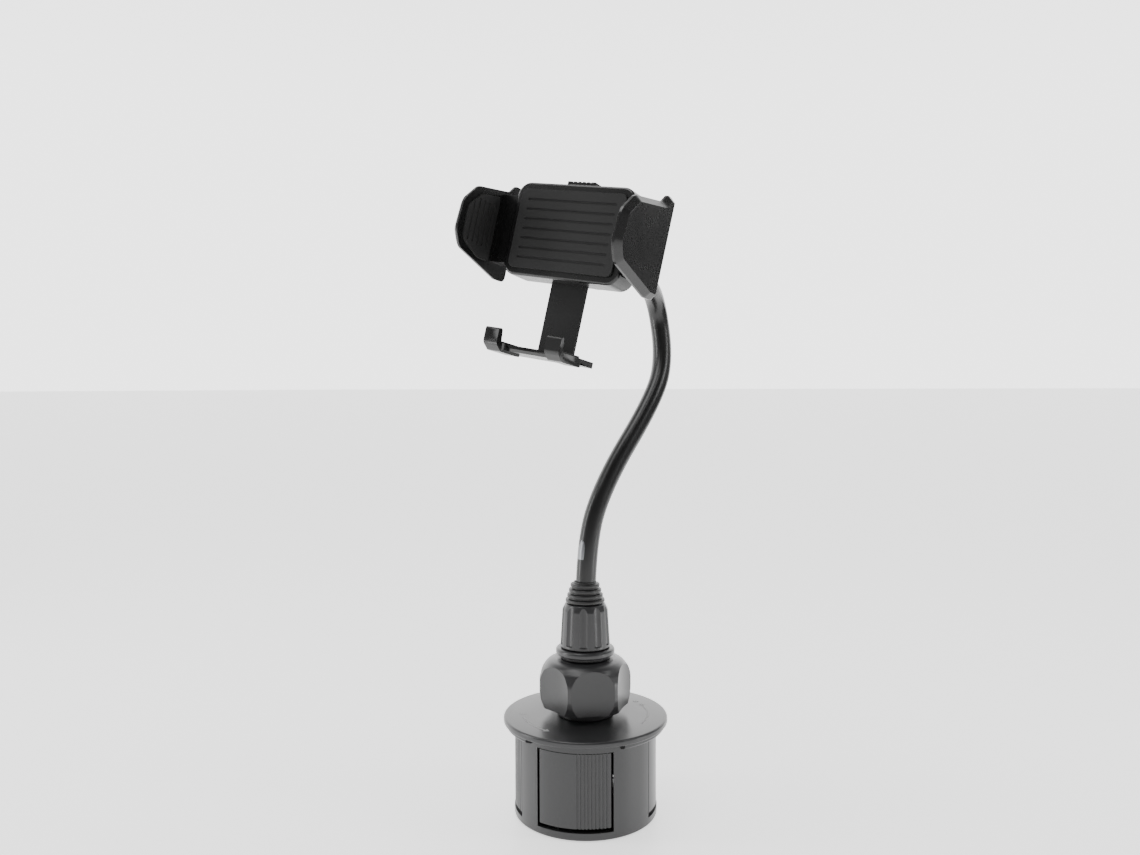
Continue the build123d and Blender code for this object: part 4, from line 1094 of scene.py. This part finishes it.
class PHONEMOUNT_OT_foot(bpy.types.Operator):
    """Sliding bracket with two upturned feet that carry the phone's lower edge"""
    bl_idname = "phone_mount.foot"
    bl_label = "Foot bracket"

    def execute(self, context):
        cradle = context.scene.mount_cradle
        finish = context.scene.mount_finish
        bracket = block("foot", (-9.0, -52.0, -12.9), (9.0, 4.0, -11.3))
        combined(bracket, slab("slot", slot_outline((0, -2.5), 7.5, 2.0, upright=True), -14.0, -10.0))
        shelf = [(-12.9, -50.2), (-12.9, -52.8), (6.0, -52.8), (7.2, -51.6), (7.2, -50.2)]
        combined(bracket, side_slab("shelf", shelf, -19.0, 19.0), "UNION")
        toe = rounded(
            [
                (-3.0, -54.0), (11.0, -54.0), (15.0, -51.2), (15.0, -44.4), (12.4, -44.4), (11.6, -50.2),
                (-3.0, -50.2),
            ],
            [0.6, 2.4, 2.4, 1.1, 1.1, 1.2, 0.4],
        )
        for side in (-1, 1):
            toe_piece = side_slab("toe", toe, side * TOE_MIDDLE - TOE_HALF, side * TOE_MIDDLE + TOE_HALF)
            combined(bracket, toe_piece, "UNION")
        softened(bracket, 0.5, segments=3, angle=35)
        place = cradle_matrix(cradle)
        settled(placed(bracket, place), "foot", "black_plastic", black_abs(finish), "foot_bracket")

        pads = []
        for side in (-1, 1):
            middle = side * TOE_MIDDLE
            pad = block("toe_pad", (middle - 2.7, -50.2, -2.4), (middle + 2.7, -49.4, 9.8))
            ribs = [
                block("rib", (middle - 4, -49.6, 2.4 * i - 0.4), (middle + 4, -49.0, 2.4 * i + 0.4))
                for i in range(5)
            ]
            combined(pad, joined("cutter", ribs))
            pads.append(softened(pad, 0.15, segments=2))
        pads = joined("toe_pads", pads)
        settled(placed(pads, place), "foot", "pad_rubber", pad_rubber(), "foot_pads")
        return {"FINISHED"}


class PHONEMOUNT_OT_ball_joint(bpy.types.Operator):
    """Swivel ring, gripped lock nut, ferrule and ball stud behind the cradle"""
    bl_idname = "phone_mount.ball_joint"
    bl_label = "Ball joint"

    def execute(self, context):
        place = cradle_matrix(context.scene.mount_cradle)
        finish = context.scene.mount_finish
        black = black_abs(finish)
        ring = lathe("swivel_cap", rounded(
            [(15.3, -15.0), (19.0, -15.0), (19.0, -19.6), (13.3, -19.6), (13.3, -17.6), (15.3, -17.6)],
            [0, 0.2, 1.4, 0.5, 0, 0],
        ), steps=128)
        settled(self.finished(ring, place), "cradle", "black_plastic", black, "swivel_ring")

        nut = lathe("ball_lock_nut", rounded(
            [(12.7, -22.5), (15.6, -22.5), (15.6, -37.0), (8.2, -37.0), (8.2, -35.0), (12.7, -35.0)],
            [0, 0.6, 2.4, 0.4, 0, 0],
        ), steps=168)
        grips = [
            turned(drum("grip", 1.6, -39.0, -20.0, place=(16.5, 0.0), sides=32), 360.0 / 14 * i)
            for i in range(14)
        ]
        combined(nut, joined("cutter", grips))
        softened(nut, 0.35, segments=2)
        settled(placed(nut, place), "locknut", "black_plastic", black, "lock_nut")

        ferrule = lathe("neck_ferrule", rounded(
            [
                (3.4, -50.0), (6.2, -50.0), (6.2, -52.8), (5.7, -53.3), (6.2, -53.8), (6.2, -57.0), (5.7, -57.5),
                (6.2, -58.0), (6.2, -61.0), (4.86, -61.0), (4.86, -54.0), (3.4, -54.0),
            ],
            [0, 0.9, 0.2, 0.2, 0.2, 0.2, 0.2, 0.2, 1.0, 0.2, 0, 0],
        ), steps=96)
        settled(self.finished(ferrule, place), "neck_end", "black_plastic", black, "top_ferrule")

        ball = arc((0.0, BALL_CENTRE), BALL_RADIUS, 90, -66, 24)
        stud = lathe("stud", ball + [(3.4, -38.5), (3.4, -54.0), (0.0, -54.0)], steps=96)
        hexagon = drum("hexagon", 5.8, -50.0, -47.4, sides=6)
        stud = joined("turned_ball_stud", [stud, softened(hexagon, 0.3, segments=2)])
        settled(self.finished(stud, place), "neck_end", "stud_steel", plated_steel(), "ball_stud")
        return {"FINISHED"}

    def finished(self, piece, place):
        """Shade the turned piece and put it in its place."""
        return placed(smoothed(piece, 35), place)


class PHONEMOUNT_OT_inner(bpy.types.Operator):
    """Finishes of the frame's own parts: screws, springs, cam, gears and the parts inside"""
    bl_idname = "phone_mount.inner"
    bl_label = "Inner parts"

    def execute(self, context):
        finish = context.scene.mount_finish
        groups = (
            (grey_abs(finish), ("bottom_plate", "guide_deck", "neck_post")),
            (black_abs(finish), ("socket_housing",)),
            (pad_rubber(), ("foot_pad",)),
            (natural_acetal(), ("scroll_cam", "pinion", "pawl", "ball_liner", "neck_collet")),
            (spring_wire(), (
                "pinion_spring", "button_spring", "neck_core_1", "neck_core_2", "neck_core_3", "neck_core_4",
                "neck_core_5",
            )),
            (blackened_steel(), (
                "base_screws", "deck_screws", "cam_screws", "post_screw", "cover_screws", "ring_screws",
            )),
        )
        for material, names in groups:
            for name in names:
                painted(frame["nodes"][name], material)
        return {"FINISHED"}


# ---------------------------------------------------------------- stage
class PHONEMOUNT_OT_stage(bpy.types.Operator):
    """Pale floor, soft studio light, a black flag beside the arm and the camera"""
    bl_idname = "phone_mount.stage"
    bl_label = "Stage"

    def execute(self, context):
        stage = context.scene.mount_stage
        deselect()
        bpy.ops.mesh.primitive_plane_add(size=120.0)
        floor = context.object
        floor.name = "floor"
        floor.data.materials.append(light_table(stage.table_glow))
        flag = block("black_flag", (320, 60, 95), (322, 900, 360))
        velvet = moulded("Black_velvet", (0.002, 0.002, 0.002), (0.004, 0.004, 0.004), 0.9, 1.0, 0.01)
        flag.data.materials.append(velvet)
        flag.visible_camera = False
        flag.visible_shadow = False
        flag.visible_diffuse = False
        self.room(context, stage.room_strength)
        self.softbox("left_softbox", (-0.62, -0.42, 0.30), (0.14, 0.9), 3.5)
        self.softbox("right_softbox", (0.66, 0.22, 0.30), (0.14, 0.9), 3.0)
        self.softbox("top_softbox", (-0.1, -0.3, 1.1), (0.7, 0.7), 6.0)
        bpy.ops.object.camera_add(location=stage.camera_place, rotation=stage.camera_turn)
        camera = context.object
        camera.name = "camera"
        camera.data.lens = stage.camera_lens
        camera.data.sensor_width = 36.0
        context.scene.camera = camera
        return {"FINISHED"}

    def room(self, context, strength):
        """White sweep behind the object, dim overhead and behind the camera."""
        world = bpy.data.worlds.new("white_room")
        world.use_nodes = True
        context.scene.world = world
        tree = world.node_tree
        where = add_node(tree, "TexCoord").outputs["Generated"]
        height = add_node(tree, "SeparateXYZ", inputs={"Vector": where}).outputs["Z"]
        above = add_node(tree, "MapRange", {"interpolation_type": "SMOOTHSTEP"}, {
            "Value": height, "From Min": 0.25, "From Max": 0.9, "To Min": 1.0, "To Max": 0.3,
        })
        turn = context.scene.mount_stage.camera_turn
        ahead = add_node(tree, "VectorMath", {"operation": "DOT_PRODUCT"})
        tree.links.new(where, ahead.inputs[0])
        ahead.inputs[1].default_value = (-math.sin(turn[2]), math.cos(turn[2]), 0.0)
        behind = add_node(tree, "MapRange", {"interpolation_type": "SMOOTHSTEP"}, {
            "Value": ahead.outputs["Value"], "From Min": -0.1, "From Max": 0.85,
            "To Min": 0.12, "To Max": 1.0,
        })
        power = add_node(tree, "Math", {"operation": "MULTIPLY"})
        tree.links.new(above.outputs["Result"], power.inputs[0])
        tree.links.new(behind.outputs["Result"], power.inputs[1])
        level = add_node(tree, "Math", {"operation": "MULTIPLY"})
        tree.links.new(power.outputs[0], level.inputs[0])
        level.inputs[1].default_value = strength
        tree.links.new(level.outputs[0], tree.nodes["Background"].inputs["Strength"])
        tree.nodes["Background"].inputs["Color"].default_value = (1, 1, 1, 1)

    def softbox(self, name, place, size, power):
        """Tall softbox that looks at the middle of the object."""
        aim = Vector((0.0, 0.0, 0.15)) - Vector(place)
        turn = aim.to_track_quat("-Z", "Y").to_euler()
        bpy.ops.object.light_add(type="AREA", location=place, rotation=turn)
        light = bpy.context.object
        light.name = name
        light.data.shape = "RECTANGLE"
        light.data.size, light.data.size_y = size
        light.data.energy = power


# ---------------------------------------------------------------- panel and registration
PIECES = (
    PHONEMOUNT_OT_base, PHONEMOUNT_OT_knob, PHONEMOUNT_OT_nut, PHONEMOUNT_OT_gooseneck, PHONEMOUNT_OT_covers,
    PHONEMOUNT_OT_arms, PHONEMOUNT_OT_foot, PHONEMOUNT_OT_ball_joint, PHONEMOUNT_OT_inner,
    PHONEMOUNT_OT_stage,
)
SETTINGS = {
    "mount_base": BaseSettings, "mount_neck": NeckSettings, "mount_cradle": CradleSettings,
    "mount_finish": FinishSettings, "mount_stage": StageSettings,
}


class PHONEMOUNT_PT_panel(bpy.types.Panel):
    """Settings and pieces of the phone mount"""
    bl_label = "Phone Mount"
    bl_idname = "PHONEMOUNT_PT_panel"
    bl_space_type = "VIEW_3D"
    bl_region_type = "UI"
    bl_category = "Phone Mount"

    def draw(self, context):
        for name, group in SETTINGS.items():
            box = self.layout.box()
            box.label(text=group.__name__.replace("Settings", ""))
            for key in group.__annotations__:
                box.prop(getattr(context.scene, name), key)
        for piece in PIECES:
            self.layout.operator(piece.bl_idname)


def register():
    for item in (*SETTINGS.values(), *PIECES, PHONEMOUNT_PT_panel):
        bpy.utils.register_class(item)
    for name, group in SETTINGS.items():
        setattr(bpy.types.Scene, name, bpy.props.PointerProperty(type=group))


def unregister():
    for name in SETTINGS:
        delattr(bpy.types.Scene, name)
    for item in (PHONEMOUNT_PT_panel, *reversed(PIECES), *SETTINGS.values()):
        bpy.utils.unregister_class(item)


def main():
    """Make every piece in order."""
    register()
    for piece in PIECES:
        getattr(bpy.ops.phone_mount, piece.bl_idname.split(".")[1])()
    deselect()


if __name__ == "__main__":
    main()
